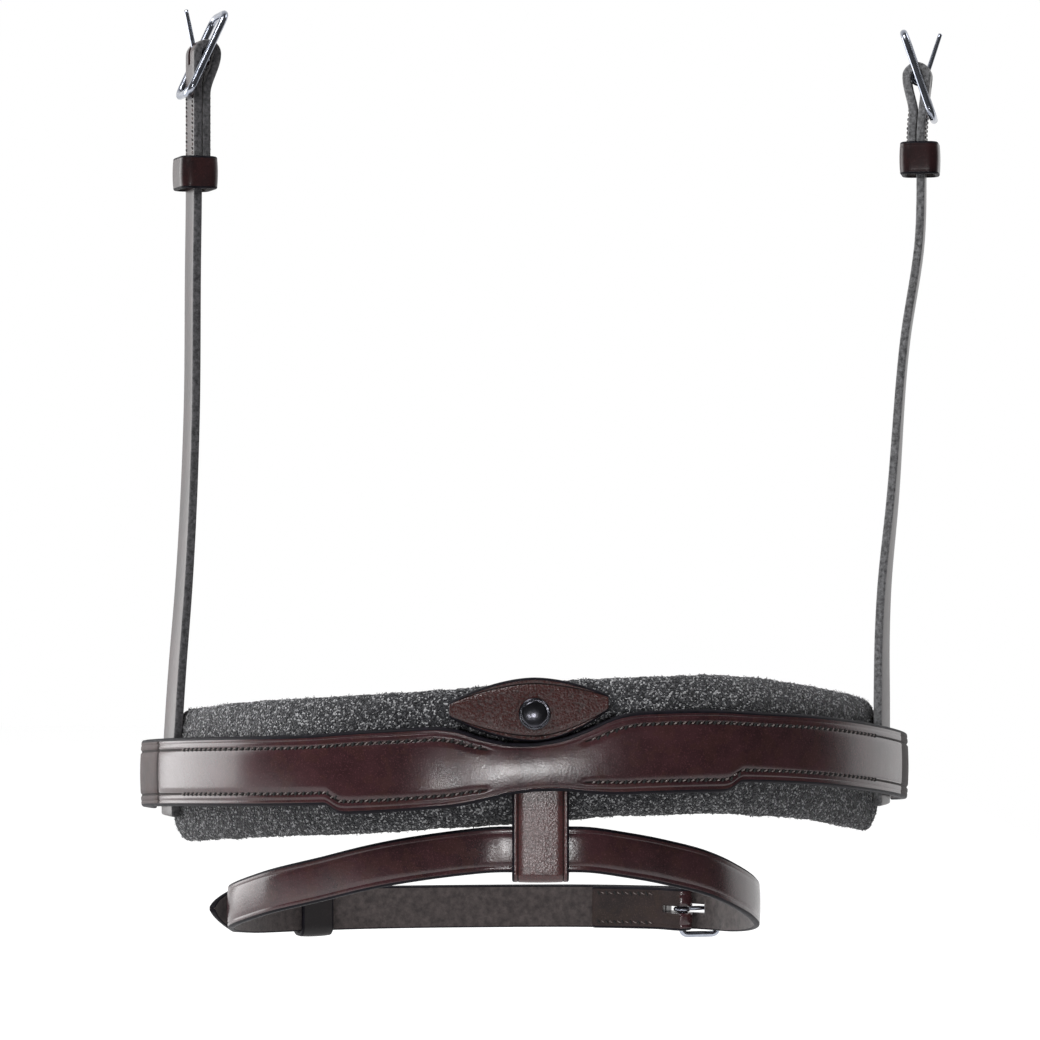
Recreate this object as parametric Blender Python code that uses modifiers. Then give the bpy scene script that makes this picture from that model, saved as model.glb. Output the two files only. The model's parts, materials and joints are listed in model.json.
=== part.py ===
"""Flash noseband of a bridle: a padded nose strap, two hangers and a flash strap.

Metres, +Z up. The front of the noseband faces -Y, the horse's nose lies at +Y, and the
origin is the middle of the pad's inner face, where the noseband rests on the nose.
Every strap follows a course: a line in space with an outward side and an across side.
A place on it is given by how far along it lies, how far out, and how far across.
"""
import math

import bmesh
import bpy
import numpy as np
from mathutils import Matrix, Vector

# Clearances
GAP = 0.0003
CUT_OVERRUN = 0.002
EDGE_ROUND = 0.0008
KEEPER_EDGE_ROUND = 0.0006
WELD_DISTANCE = 0.00001
EDGE_ANGLE = math.radians(40)

# Plan of the nose strap's inner face
RING_HALF_WIDTH = 0.1352
RING_REACH = 0.108
RING_BACK_REACH = 0.075
RING_FLATNESS = 3.0
RING_CORNER = 0.81
RING_SLOPE = 0.11
SIDE_LIFT = 0.0037
SIDE_LIFT_PLACE = 0.075
COURSE_STEPS = 400
SPAN_STEPS = 16
LEAN_STEPS = 60

# Nose strap: places along it, its upper edge and its lower edge
BAND_HALF_LENGTH = 0.205
BAND_HALF_HEIGHT = 0.012
BAND_THICKNESS = 0.0032
BAND_STATIONS = 101
BAND_OUTLINE_SHARES = (
    (0.000, 0.36, 0.97),
    (0.045, 0.44, 1.02),
    (0.085, 0.64, 1.14),
    (0.130, 0.93, 1.23),
    (0.175, 1.03, 1.25),
    (0.300, 1.02, 1.27),
    (0.318, 1.01, 1.24),
    (0.345, 0.99, 1.00),
    (0.520, 0.98, 1.00),
    (1.000, 1.00, 1.00),
)
BACKING_INSET = 0.0004
BACKING_END = 0.154
BACKING_STATIONS = 41

# Pad
PAD_THICKNESS = 0.009
PAD_HALF_LENGTH = 0.175
PAD_HALF_HEIGHT = 0.0232
PAD_RISE = 0.0006
PAD_SLOPE = 0.135
PAD_LIFT_SHARE = 0.89
PAD_END_ROUND = 0.013
PAD_STATIONS = 25
PAD_SECTION_SHARES = (
    (0.00, -0.72), (0.00, 0.00), (0.00, 0.72), (0.38, 1.03), (0.80, 0.92),
    (1.00, 0.50), (1.00, 0.00), (1.00, -0.50), (0.80, -0.92), (0.38, -1.03),
)
PAD_END_SHARES = ((0.0, 0.80), (0.10, 0.90), (0.35, 0.97), (1.0, 1.0))

# Flash loop: the leather leaf behind the nose strap's waist and round the flash strap
LOOP_X = 0.0021
LEAF_THICKNESS = 0.0016
LEAF_WIDTH = 0.0188
TUNNEL_CLEARANCE = 0.0008
LOOP_FLEX_DROP = 0.0008
LOOP_FLEX_GAP = 0.0010
LOOP_SPREAD_RISE = 0.0045
LOOP_SPREAD_SHARES = (0.25, 0.5, 0.75, 1.0)
BACK_LEAF_TOP_SHARE = 0.62

# Tab above the waist, with its snap fastener
TAB_HALF_WIDTH_LEFT = 0.0281
TAB_HALF_WIDTH_RIGHT = 0.0245
TAB_BOTTOM = 0.0047
TAB_HEIGHT = 0.0213
TAB_TIP_HALF_HEIGHT = 0.0026
TAB_TIP_SHARE = 0.50
TAB_TIP_SHARE_RIGHT = 0.61
TAB_THICKNESS = 0.0018
TAB_LINING_THICKNESS = 0.0015
TAB_HINGE_DROP = 0.0008
TAB_ARC_STEPS = 12
TAB_ARC_POWER = 1.8
STUD_RADIUS = 0.0053
STUD_HEIGHT = 0.0022
STUD_RIM = 0.0008
STUD_RISE_SHARE = 0.44
STUD_STEM_RADIUS = 0.0015
SOCKET_RADIUS = 0.0042
SOCKET_BORE = 0.0018
SNAP_HEAD_RADIUS = 0.0015
SNAP_CROWN_RADIUS = 0.00105
SNAP_STEM_RADIUS = 0.0011
TURN_STEPS = 24

# Hangers
HANGER_PLACE = 0.166
HANGER_WIDTH = 0.013
HANGER_THICKNESS = 0.0031
HANGER_TAIL_DROP = 0.0155
HANGER_FLEX_RISE = 0.0235
HANGER_FLEX_GAP = 0.0009
HANGER_STATIONS = 25
HANGER_FOLD_LENGTHS = {"left": 0.047, "right": 0.0335}
HANGER_FOLD_BORE = 0.0021
HANGER_LINE_OVERRUN = 0.0104
HANGER_SLOT_BACK = 0.0036
SEAT_LENGTH = 0.010
HANGER_RISES = {"left": 0.2537, "right": 0.2425}
HANGER_LEANS = {"left": -0.0086, "right": 0.0144}
HANGER_LEAN_SHARES = {
    "left": ((0.0, 0.0), (0.14, 0.28), (0.26, 0.57), (0.49, 0.90), (0.70, 0.96),
             (0.82, 1.0), (1.0, 1.0)),
    "right": ((0.0, 0.0), (0.13, 0.0), (0.25, 0.06), (0.38, 0.27), (0.61, 0.58),
              (0.77, 0.97), (0.84, 1.0), (0.905, 1.0), (1.0, 1.16)),
}
HANGER_TWISTS = {"left": math.radians(-4), "right": math.radians(11)}
HANGER_TWIST_SHARES = ((0.09, 0.0), (0.35, 0.55), (0.60, 1.0), (1.0, 1.0))
HANGER_KEEPER_DROPS = {"left": 0.0421, "right": 0.0289}

# Keepers
KEEPER_WALL = 0.0018
KEEPER_CORNER = 0.0012
KEEPER_EASE = 0.0007
KEEPER_EDGE_ANGLE = math.radians(60)
HANGER_KEEPER_LENGTH = 0.0115
HANGER_KEEPER_OUT = 0.0045
HANGER_KEEPER_IN = 0.0058

# Hanger buckles: a full frame with its bar in the middle
WIRE_RADIUS = 0.0013
BUCKLE_LENGTH = 0.034
BUCKLE_CORNER = 0.0035
BUCKLE_SIDE_CLEARANCE = 0.0005
CORNER_STEPS = 4
WIRE_RESOLUTION = 2
TONGUE_RADIUS = 0.0009
TONGUE_BORE_GAP = 0.0002
TONGUE_LENGTH = 0.0165
TONGUE_OPEN_ANGLE = math.radians(12)
TONGUE_SLOT_CLEARANCE = 0.0004
EYE_STEPS = 10
EYE_WRAP = math.radians(300)

# Flash strap
FLASH_WIDTH = 0.0152
FLASH_THICKNESS = 0.0024
FLASH_CENTRE_X = -0.012
FLASH_HALF_WIDTH = 0.0918
FLASH_DEPTH = 0.118
FLASH_DROP = 0.0312
FLASH_FALL = 0.0648
FLASH_FALL_EASE = 0.0335
FLASH_PLAN_SHARES = (
    (0.76, 0.93), (0.40, 1.00), (-0.10, 1.00), (-0.52, 0.965), (-0.80, 0.88), (-0.94, 0.74),
    (-1.00, 0.55), (-0.86, 0.345), (-0.62, 0.195), (-0.44, 0.105), (-0.25, 0.045),
    (-0.04, 0.003), (0.10, 0.000), (0.20, 0.000), (0.33, 0.003), (0.46, 0.034), (0.60, 0.080),
    (0.76, 0.158), (0.88, 0.27), (0.97, 0.42), (1.00, 0.60), (0.92, 0.81),
)
FLASH_STATIONS = 76
FLASH_FOLD_LENGTH = 0.034
FLASH_TAIL_STATIONS = 30
FLASH_TIP_LENGTH = 0.011
FLASH_TAIL_LENGTH = 0.186
FLASH_TAIL_FLARE = 0.004
BILLET_RISE_RUN = 0.024
BILLET_RISE_SHARE = 0.85
FLASH_KEEPER_PLACE = 0.136
FLASH_KEEPER_LENGTH = 0.012

# Chin strap behind, hidden by the pad
CHIN_WIDTH = 0.019
CHIN_THICKNESS = 0.0024
CHIN_START = 0.181
CHIN_BAR_PLACE = 0.275
CHIN_TIP_PLACE = 0.222
CHIN_FOLD_LENGTH = 0.034
CHIN_STATIONS = 46
CHIN_RUN_STATIONS = 20
CHIN_TIP_LENGTH = 0.010
CHIN_FIXED_KEEPER_PLACE = 0.251
CHIN_LOOSE_KEEPER_PLACE = 0.236
CHIN_KEEPER_LENGTH = 0.008

# Half buckles of the flash and chin straps: a frame with its bar at one end
HALF_WIRE_RADIUS = 0.0011
HALF_BUCKLE_LENGTH = 0.013
HALF_BUCKLE_CORNER = 0.002
HALF_FOLD_SLACK = 0.0005
RISE_SHARE = 0.65
TIP_HALF_WIDTH = 0.0008
TIP_POWER = 1.5
HOLE_PLACE = 0.0034
TONGUE_HOLE_LENGTH = 0.008
HALF_SLOT_REACH = 0.0064
FOLD_STEPS = 8
FOLD_NECK_SHARE = 4
NECK_SHARES = (1.0, 0.8, 0.6, 0.4, 0.2)
HOLE_RADIUS = 0.0016
HOLE_SPACING = 0.018
HOLE_COUNT = 4
HOLE_SIDES = 12

# Colours of the photographed object
LEATHER = ((0.040, 0.013, 0.013), 0.42, 0.0)
DARK_LEATHER = ((0.020, 0.012, 0.014), 0.60, 0.0)
PAD_FABRIC = ((0.030, 0.031, 0.035), 0.95, 0.0)
GUNMETAL = ((0.22, 0.22, 0.24), 0.28, 1.0)
STEEL = ((0.55, 0.56, 0.58), 0.22, 1.0)

UP = Vector((0, 0, 1))
TUNNEL_DEPTH = GAP + LEAF_THICKNESS + GAP + LEAF_THICKNESS + GAP
BACKING_THICKNESS = TUNNEL_DEPTH - GAP - GAP
BAND_FACE_DEPTH = PAD_THICKNESS + TUNNEL_DEPTH


def clear_scene():
    for obj in list(bpy.data.objects):
        bpy.data.objects.remove(obj, do_unlink=True)


def new_collection(name):
    collection = bpy.data.collections.new(name)
    bpy.context.scene.collection.children.link(collection)
    return collection


def finish(obj, look):
    colour, roughness, metallic = look
    material = bpy.data.materials.new(obj.name)
    material.use_nodes = True
    shader = material.node_tree.nodes["Principled BSDF"]
    shader.inputs["Base Color"].default_value = (*colour, 1)
    shader.inputs["Roughness"].default_value = roughness
    shader.inputs["Metallic"].default_value = metallic
    obj.data.materials.clear()
    obj.data.materials.append(material)


def add_part(name, data, look, matrix=None):
    obj = bpy.data.objects.new(name, data)
    PARTS.objects.link(obj)
    if matrix is not None:
        obj.matrix_world = matrix
    finish(obj, look)
    return obj


def smooth_through(shares, at, column=1):
    """Value of a table of shares at a place, on a smooth curve through its rows."""
    places = np.array([row[0] for row in shares])
    values = np.array([row[column] for row in shares])
    slopes = np.gradient(values, places)
    flat = np.zeros(len(values), dtype=bool)
    flat[1:-1] = np.diff(values)[:-1] * np.diff(values)[1:] <= 0
    slopes[flat] = 0
    at = float(np.clip(at, places[0], places[-1]))
    i = int(np.clip(np.searchsorted(places, at) - 1, 0, len(places) - 2))
    run = places[i + 1] - places[i]
    t = (at - places[i]) / run
    start = (2 * t ** 3 - 3 * t ** 2 + 1) * values[i] + (t ** 3 - 2 * t ** 2 + t) * run * slopes[i]
    end = (3 * t ** 2 - 2 * t ** 3) * values[i + 1] + (t ** 3 - t ** 2) * run * slopes[i + 1]
    return float(start + end)


def ease(t):
    t = min(max(t, 0), 1)
    return t * t * (3 - 2 * t)


class Course:
    """A line in space that a strap follows, measured by the length along it."""

    def __init__(self, points, across, start=0.0, closed=False, twist=None):
        self.points = np.array(points)
        steps = np.linalg.norm(np.diff(self.points, axis=0), axis=1)
        self.lengths = start + np.concatenate(([0], np.cumsum(steps)))
        self.start = start
        self.total = self.lengths[-1] - start
        self.straight_across = Vector(across).normalized()
        self.closed = closed
        self.twist = twist

    def _inside(self, along):
        if self.closed:
            return self.start + (along - self.start) % self.total
        return along

    def across(self, along=0.0):
        if self.twist is None:
            return self.straight_across
        return Matrix.Rotation(self.twist(along), 3, "Z") @ self.straight_across

    def middle(self, along):
        along = self._inside(along)
        return Vector([float(np.interp(along, self.lengths, self.points[:, k])) for k in range(3)])

    def heading(self, along):
        reach = self.total / COURSE_STEPS
        if self.closed:
            return (self.middle(along + reach) - self.middle(along - reach)).normalized()
        low = max(along - reach, self.lengths[0])
        high = min(along + reach, self.lengths[-1])
        return (self.middle(high) - self.middle(low)).normalized()

    def outward(self, along):
        return self.heading(along).cross(self.across(along)).normalized()

    def place(self, along, out=0.0, up=0.0):
        sideways = float(out) * self.outward(along) + float(up) * self.across(along)
        return self.middle(along) + sideways

    def frame(self, along, out=0.0):
        """Matrix with X along the course, Y across it and Z outward."""
        outward = self.outward(along)
        across = self.across(along)
        axes = Matrix((across.cross(outward), across, outward)).transposed().to_4x4()
        return Matrix.Translation(self.place(along, out)) @ axes


def side_lift(x):
    return SIDE_LIFT * math.sin(math.pi / 2 * x / SIDE_LIFT_PLACE)


def ring_plan_quarter(reach, front):
    """Points of a quarter of the ring in plan, from the middle line to the widest place."""
    points = []
    for turn in np.linspace(0, math.pi / 2, COURSE_STEPS):
        if front:
            x = RING_HALF_WIDTH * math.sin(turn) ** (2 / RING_FLATNESS)
            y = reach * (1 - math.cos(turn) ** (2 * RING_CORNER))
        else:
            x = RING_HALF_WIDTH * math.sin(turn)
            y = RING_REACH + reach * math.cos(turn)
        points.append((x, y))
    return points


def ring_course(slope, lift_share):
    """The noseband's closed ring, from the middle of the back round by the left to the front."""
    front = ring_plan_quarter(RING_REACH, True)
    back = ring_plan_quarter(RING_BACK_REACH, False)
    right_half = front + back[::-1][1:]
    left_half = [(-x, y) for x, y in right_half[::-1]]
    plan = left_half + right_half[1:]
    points = [(x, y - BAND_FACE_DEPTH, lift_share * side_lift(x) - slope * y) for x, y in plan]
    steps = np.linalg.norm(np.diff(np.array(points), axis=0), axis=1)
    return Course(points, UP, start=-float(np.sum(steps)) / 2, closed=True)


def flash_plan_point(share_x, share_y):
    return FLASH_CENTRE_X + share_x * FLASH_HALF_WIDTH, share_y * FLASH_DEPTH


def curve_through(points, steps):
    """Closed smooth curve through the points (Catmull-Rom)."""
    count = len(points)
    corners = [np.array(p) for p in points]
    result = []
    for i in range(count):
        before, here = corners[i - 1], corners[i]
        after, beyond = corners[(i + 1) % count], corners[(i + 2) % count]
        for t in np.linspace(0, 1, steps, endpoint=False):
            result.append(0.5 * (2 * here + (after - before) * t
                                 + (2 * before - 5 * here + 4 * after - beyond) * t ** 2
                                 + (3 * here - before - 3 * after + beyond) * t ** 3))
    result.append(result[0])
    return result


def flash_front_depth():
    """Depth of the flash strap's middle where it lies in the loop."""
    return -BAND_FACE_DEPTH + GAP + LEAF_THICKNESS + GAP + FLASH_THICKNESS / 2


def flash_course():
    """The flash strap's closed ring, from the buckle's bar along the back to the left."""
    plan = curve_through([flash_plan_point(*p) for p in FLASH_PLAN_SHARES], SPAN_STEPS)
    points = []
    for x, y in plan:
        share = y / FLASH_DEPTH
        fall = FLASH_FALL * share - FLASH_FALL_EASE * share ** 2
        points.append((float(x), float(y) + flash_front_depth(), -FLASH_DROP - fall))
    return Course(points, UP, closed=True)


def loop_course():
    """Vertical line in front of the pad that the flash loop's leaves follow; along is height."""
    low = -FLASH_DROP - FLASH_WIDTH
    high = TAB_BOTTOM + TAB_HEIGHT
    points = [(LOOP_X, -BAND_FACE_DEPTH, z) for z in np.linspace(low, high, 3)]
    return Course(points, (-1, 0, 0), start=low)


def hanger_course(side):
    """A hanger's line from under the nose strap to its buckle; along is height, nearly."""
    sign = 1 if side == "right" else -1
    root = RING.place(sign * HANGER_PLACE, -(GAP + HANGER_THICKNESS / 2))
    outward = RING.outward(sign * HANGER_PLACE)
    rise = HANGER_RISES[side]
    points = []
    heights = np.concatenate(([-HANGER_TAIL_DROP], np.linspace(0, rise, LEAN_STEPS),
                              [rise + HANGER_LINE_OVERRUN]))
    for height in (float(value) for value in heights):
        lean = HANGER_LEANS[side] * smooth_through(HANGER_LEAN_SHARES[side], height / rise)
        points.append(root + lean * outward + height * UP)

    def twist(along):
        return HANGER_TWISTS[side] * smooth_through(HANGER_TWIST_SHARES, along / rise)

    return Course([tuple(p) for p in points], outward.cross(UP), -HANGER_TAIL_DROP, twist=twist)


def leather(name, low_rail, high_rail, thickness, look=LEATHER, origin=None):
    """A strap: the strip between two rails, thickened both ways, with rounded edges."""
    origin = origin or Vector((0, 0, 0))
    shape = bmesh.new()
    lows = [shape.verts.new(p - origin) for p in low_rail]
    highs = [shape.verts.new(p - origin) for p in high_rail]
    for i in range(len(lows) - 1):
        shape.faces.new((lows[i], lows[i + 1], highs[i + 1], highs[i]))
    mesh = bpy.data.meshes.new(name)
    shape.to_mesh(mesh)
    shape.free()
    obj = add_part(name, mesh, look, Matrix.Translation(origin))
    solid = obj.modifiers.new("Thickness", "SOLIDIFY")
    solid.thickness = thickness
    solid.offset = 0
    solid.use_even_offset = True
    edge = obj.modifiers.new("Edges", "BEVEL")
    edge.width = min(EDGE_ROUND, thickness / 4)
    edge.segments = 1
    edge.limit_method = "ANGLE"
    edge.angle_limit = EDGE_ANGLE
    mesh.shade_smooth()
    return obj


def strap(name, course, rows, thickness, look=LEATHER, origin=None):
    """A strap from rows of (along, out, low, high) on its course."""
    lows = [course.place(along, out, low) for along, out, low, high in rows]
    highs = [course.place(along, out, high) for along, out, low, high in rows]
    return leather(name, lows, highs, thickness, look, origin)


def fold_rows(bar, layer_out, bore, thickness, length, half_width, facing):
    """Rows of a strap's end folded round a buckle bar, from the fold's free end to the bar.

    facing is 1 where the strap leaves the bar towards higher places along its course.
    """
    radius = bore + thickness / 2
    lap = layer_out - thickness - GAP
    centre = layer_out - radius
    far = layer_out - 2 * radius
    neck = FOLD_NECK_SHARE * radius
    rows = [(bar + facing * length, lap), (bar + facing * (neck + length) / 2, lap)]
    for share in NECK_SHARES:
        rows.append((bar + facing * neck * share, far + (lap - far) * ease(share)))
    for turn in np.linspace(math.pi, 0, FOLD_STEPS + 1):
        rows.append((bar - facing * radius * math.sin(turn), centre + radius * math.cos(turn)))
    return [(along, out, -half_width, half_width) for along, out in rows]


def cut(obj, cutter):
    boolean = obj.modifiers.new(cutter.name, "BOOLEAN")
    boolean.operation = "DIFFERENCE"
    boolean.object = cutter


def as_cutter(obj, name):
    obj.name = name
    for collection in list(obj.users_collection):
        collection.objects.unlink(obj)
    CUTTERS.objects.link(obj)
    obj.hide_render = True
    obj.display_type = "WIRE"
    return obj


def box_cutter(name, matrix, size):
    bpy.ops.mesh.primitive_cube_add(size=1)
    box = as_cutter(bpy.context.object, name)
    box.matrix_world = matrix @ Matrix.Diagonal((*size, 1))
    return box


def round_cutter(name, matrix, radius, depth, sides=HOLE_SIDES):
    bpy.ops.mesh.primitive_cylinder_add(vertices=sides, radius=radius, depth=depth)
    cylinder = as_cutter(bpy.context.object, name)
    cylinder.matrix_world = matrix
    return cylinder


def rounded_rectangle(length, width, corner, steps=CORNER_STEPS):
    """Outline of a rectangle with round corners, centred, as (x, y) points."""
    points = []
    for quarter, (sx, sy) in enumerate(((1, 1), (-1, 1), (-1, -1), (1, -1))):
        for turn in np.linspace(0, math.pi / 2, steps):
            angle = quarter * math.pi / 2 + turn
            points.append((sx * (length / 2 - corner) + corner * math.cos(angle),
                           sy * (width / 2 - corner) + corner * math.sin(angle)))
    return points


def add_spline(curve, points, cyclic):
    spline = curve.splines.new("POLY")
    spline.points.add(len(points) - 1)
    for target, point in zip(spline.points, points):
        target.co = (*point, 1)
    spline.use_cyclic_u = cyclic


def mesh_from_curve(curve, name):
    """Closed mesh of a curve, with its caps welded."""
    holder = bpy.data.objects.new(name, curve)
    bpy.context.scene.collection.objects.link(holder)
    graph = bpy.context.evaluated_depsgraph_get()
    mesh = bpy.data.meshes.new_from_object(holder.evaluated_get(graph))
    bpy.data.objects.remove(holder, do_unlink=True)
    shape = bmesh.new()
    shape.from_mesh(mesh)
    bmesh.ops.remove_doubles(shape, verts=shape.verts, dist=WELD_DISTANCE)
    bmesh.ops.recalc_face_normals(shape, faces=shape.faces)
    shape.to_mesh(mesh)
    shape.free()
    mesh.name = name
    return mesh


def wire_mesh(name, points, radius, cyclic):
    curve = bpy.data.curves.new(name, "CURVE")
    curve.dimensions = "3D"
    curve.bevel_depth = radius
    curve.bevel_resolution = WIRE_RESOLUTION
    curve.use_fill_caps = True
    add_spline(curve, points, cyclic)
    return mesh_from_curve(curve, name)


def keeper(name, frame, length, inner_out, inner_in, half_width, look=LEATHER):
    """A leather loop round a strap: a flat ring outline, extruded along the strap."""
    inner_height = inner_out + inner_in
    inner_width = 2 * half_width
    curve = bpy.data.curves.new(name, "CURVE")
    curve.dimensions = "2D"
    curve.fill_mode = "BOTH"
    curve.extrude = length / 2
    outer = rounded_rectangle(inner_height + 2 * KEEPER_WALL, inner_width + 2 * KEEPER_WALL,
                              KEEPER_CORNER + KEEPER_WALL)
    inner = rounded_rectangle(inner_height, inner_width, KEEPER_CORNER)
    add_spline(curve, [(x, y, 0) for x, y in outer], True)
    add_spline(curve, [(x, y, 0) for x, y in inner], True)
    mesh = mesh_from_curve(curve, name)
    middle = (inner_out - inner_in) / 2
    turned = frame @ Matrix.Translation((0, 0, middle)) @ Matrix.Rotation(-math.pi / 2, 4, "Y")
    obj = add_part(name, mesh, look, turned)
    edge = obj.modifiers.new("Edges", "BEVEL")
    edge.width = KEEPER_EDGE_ROUND
    edge.segments = 1
    edge.limit_method = "ANGLE"
    edge.angle_limit = KEEPER_EDGE_ANGLE
    return obj


def buckle(name, frame, near_end, far_end, strap_width, radius, look, corner=BUCKLE_CORNER):
    """A wire frame with a bar across it at its own origin; X is the way the tongue points."""
    width = strap_width + 2 * (BUCKLE_SIDE_CLEARANCE + radius)
    length = far_end - near_end
    outline = rounded_rectangle(length, width, corner)
    middle = (far_end + near_end) / 2
    ring = wire_mesh(name, [(x + middle, y, 0) for x, y in outline], radius, True)
    obj = add_part(name, ring, look, frame)
    if near_end < 0:
        bar = wire_mesh(name + "_bar", [(0, -width / 2, 0), (0, width / 2, 0)], radius, False)
        bar_object = bpy.data.objects.new(name + "_bar", bar)
        bpy.context.scene.collection.objects.link(bar_object)
        as_cutter(bar_object, name + "_bar")
        bar_object.matrix_world = frame
        join = obj.modifiers.new("Bar", "BOOLEAN")
        join.operation = "UNION"
        join.object = bar_object
    ring.shade_smooth()
    return obj


def tongue(name, frame, bar_radius, length, lift, look, parent):
    """A wire tongue: an eye round the bar, then a straight pin that leaves it tangentially."""
    eye = bar_radius + TONGUE_BORE_GAP + TONGUE_RADIUS
    points = []
    for turn in np.linspace(-EYE_WRAP, 0, EYE_STEPS):
        angle = math.pi / 2 + lift - turn
        points.append((eye * math.cos(angle), 0, eye * math.sin(angle)))
    start = points[-1]
    points.append((start[0] + length * math.cos(lift), 0, start[2] + length * math.sin(lift)))
    mesh = wire_mesh(name, points, TONGUE_RADIUS, False)
    obj = add_part(name, mesh, look, frame)
    mesh.shade_smooth()
    obj.parent = parent
    obj.matrix_parent_inverse = parent.matrix_world.inverted()
    return obj


def turned(name, profile, matrix, look):
    """A turned piece from a profile of (radius, height), outer side listed top to bottom.

    A profile whose ends lie off the axis is closed into a ring.
    """
    shape = bmesh.new()
    verts = [shape.verts.new((radius, 0, height)) for radius, height in profile]
    if profile[0][0] > 0:
        verts.append(verts[0])
    for first, second in zip(verts, verts[1:]):
        shape.edges.new((first, second))
    mesh = bpy.data.meshes.new(name)
    shape.to_mesh(mesh)
    shape.free()
    obj = add_part(name, mesh, look, matrix)
    screw = obj.modifiers.new("Turn", "SCREW")
    screw.steps = TURN_STEPS
    screw.render_steps = TURN_STEPS
    screw.use_merge_vertices = True
    screw.merge_threshold = WELD_DISTANCE
    mesh.shade_smooth()
    return obj


def band_edges(along):
    share = abs(along) / BAND_HALF_LENGTH
    high = BAND_HALF_HEIGHT * smooth_through(BAND_OUTLINE_SHARES, share, 1)
    low = -BAND_HALF_HEIGHT * smooth_through(BAND_OUTLINE_SHARES, share, 2)
    return low, high


def make_nose_band():
    rows = []
    for along in np.linspace(-BAND_HALF_LENGTH, BAND_HALF_LENGTH, BAND_STATIONS):
        rows.append((along, BAND_THICKNESS / 2, *band_edges(along)))
    strap("nose_band", RING, rows, BAND_THICKNESS)


def make_backing(side, sign):
    start = LOOP_X * sign + LEAF_WIDTH / 2 + TUNNEL_CLEARANCE
    out = -GAP - BACKING_THICKNESS / 2
    rows = []
    for along in np.linspace(start, BACKING_END, BACKING_STATIONS):
        low, high = band_edges(along)
        rows.append((sign * along, out, low + BACKING_INSET, high - BACKING_INSET))
    strap("band_backing_" + side, RING, rows, BACKING_THICKNESS, DARK_LEATHER)


def pad_section(along):
    """One ring of the pad's cage, smaller in the rounded ends."""
    to_end = PAD_HALF_LENGTH - abs(along)
    size = smooth_through(PAD_END_SHARES, to_end / PAD_END_ROUND)
    ring = []
    for depth_share, height_share in PAD_SECTION_SHARES:
        depth = 0.5 + (depth_share - 0.5) * size
        out = -TUNNEL_DEPTH - PAD_THICKNESS * depth
        up = PAD_RISE + PAD_HALF_HEIGHT * height_share * size
        ring.append(PAD_RING.place(along, out, up))
    return ring


def make_pad():
    """The cushion: a coarse cage along the ring, made soft by subdivision."""
    inner = PAD_HALF_LENGTH - PAD_END_ROUND
    places = [-PAD_HALF_LENGTH, -PAD_HALF_LENGTH + PAD_END_ROUND / 3]
    places += list(np.linspace(-inner, inner, PAD_STATIONS))
    places += [PAD_HALF_LENGTH - PAD_END_ROUND / 3, PAD_HALF_LENGTH]
    shape = bmesh.new()
    rings = [[shape.verts.new(p) for p in pad_section(along)] for along in places]
    count = len(PAD_SECTION_SHARES)
    for first, second in zip(rings, rings[1:]):
        for i in range(count):
            j = (i + 1) % count
            shape.faces.new((first[i], first[j], second[j], second[i]))
    shape.faces.new(rings[0])
    shape.faces.new(rings[-1][::-1])
    bmesh.ops.recalc_face_normals(shape, faces=shape.faces)
    mesh = bpy.data.meshes.new("nose_pad")
    shape.to_mesh(mesh)
    shape.free()
    pad = add_part("nose_pad", mesh, PAD_FABRIC)
    soft = pad.modifiers.new("Soft", "SUBSURF")
    soft.levels = 1
    soft.render_levels = 1
    mesh.shade_smooth()


def loop_flex_height():
    return band_edges(0)[0] - LOOP_FLEX_DROP


def stud_height():
    return TAB_BOTTOM + STUD_RISE_SHARE * TAB_HEIGHT


def leaf_outs():
    front = -GAP - LEAF_THICKNESS / 2
    return front, front - LEAF_THICKNESS - GAP


def make_leaves():
    """The loop's two leaves where they lie between the nose strap and the pad."""
    front_out, back_out = leaf_outs()
    bottom = loop_flex_height() + LOOP_FLEX_GAP / 2
    half = LEAF_WIDTH / 2
    front_top = TAB_BOTTOM - TAB_HINGE_DROP - GAP
    front = [(bottom, front_out, -half, half), (front_top, front_out, -half, half)]
    strap("loop_front_leaf", LOOP_LINE, front, LEAF_THICKNESS)
    back_top = TAB_BOTTOM + BACK_LEAF_TOP_SHARE * TAB_HEIGHT
    back = [(bottom, back_out, -half, half), (back_top, back_out, -half, half)]
    leaf = strap("loop_back_leaf", LOOP_LINE, back, LEAF_THICKNESS)
    hole = round_cutter("snap_stem_hole", stud_matrix(), SNAP_STEM_RADIUS + GAP,
                        2 * BAND_FACE_DEPTH, TURN_STEPS)
    cut(leaf, hole)


def make_loop():
    """The leather loop that holds the flash strap: down in front, round it and up behind."""
    front_out, back_out = leaf_outs()
    behind_out = front_out - LEAF_THICKNESS - FLASH_THICKNESS - 2 * GAP
    top = loop_flex_height() - LOOP_FLEX_GAP / 2
    strap_top = -FLASH_DROP + FLASH_WIDTH / 2
    strap_bottom = -FLASH_DROP - FLASH_WIDTH / 2 - GAP
    spread_top = strap_top + LOOP_SPREAD_RISE
    path = [(top, back_out), (spread_top, back_out)]
    for share in LOOP_SPREAD_SHARES:
        height = spread_top - share * (LOOP_SPREAD_RISE - GAP)
        path.append((height, back_out + (behind_out - back_out) * ease(share)))
    radius = (front_out - behind_out) / 2
    centre = (front_out + behind_out) / 2
    for turn in np.linspace(math.pi, 0, FOLD_STEPS + 1):
        path.append((strap_bottom - radius * math.sin(turn), centre + radius * math.cos(turn)))
    path.append((top, front_out))
    half = LEAF_WIDTH / 2
    rows = [(along, out, -half, half) for along, out in path]
    pivot = LOOP_LINE.place(loop_flex_height(), (front_out + back_out) / 2)
    return strap("flash_loop", LOOP_LINE, rows, LEAF_THICKNESS, LEATHER, pivot)


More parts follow.
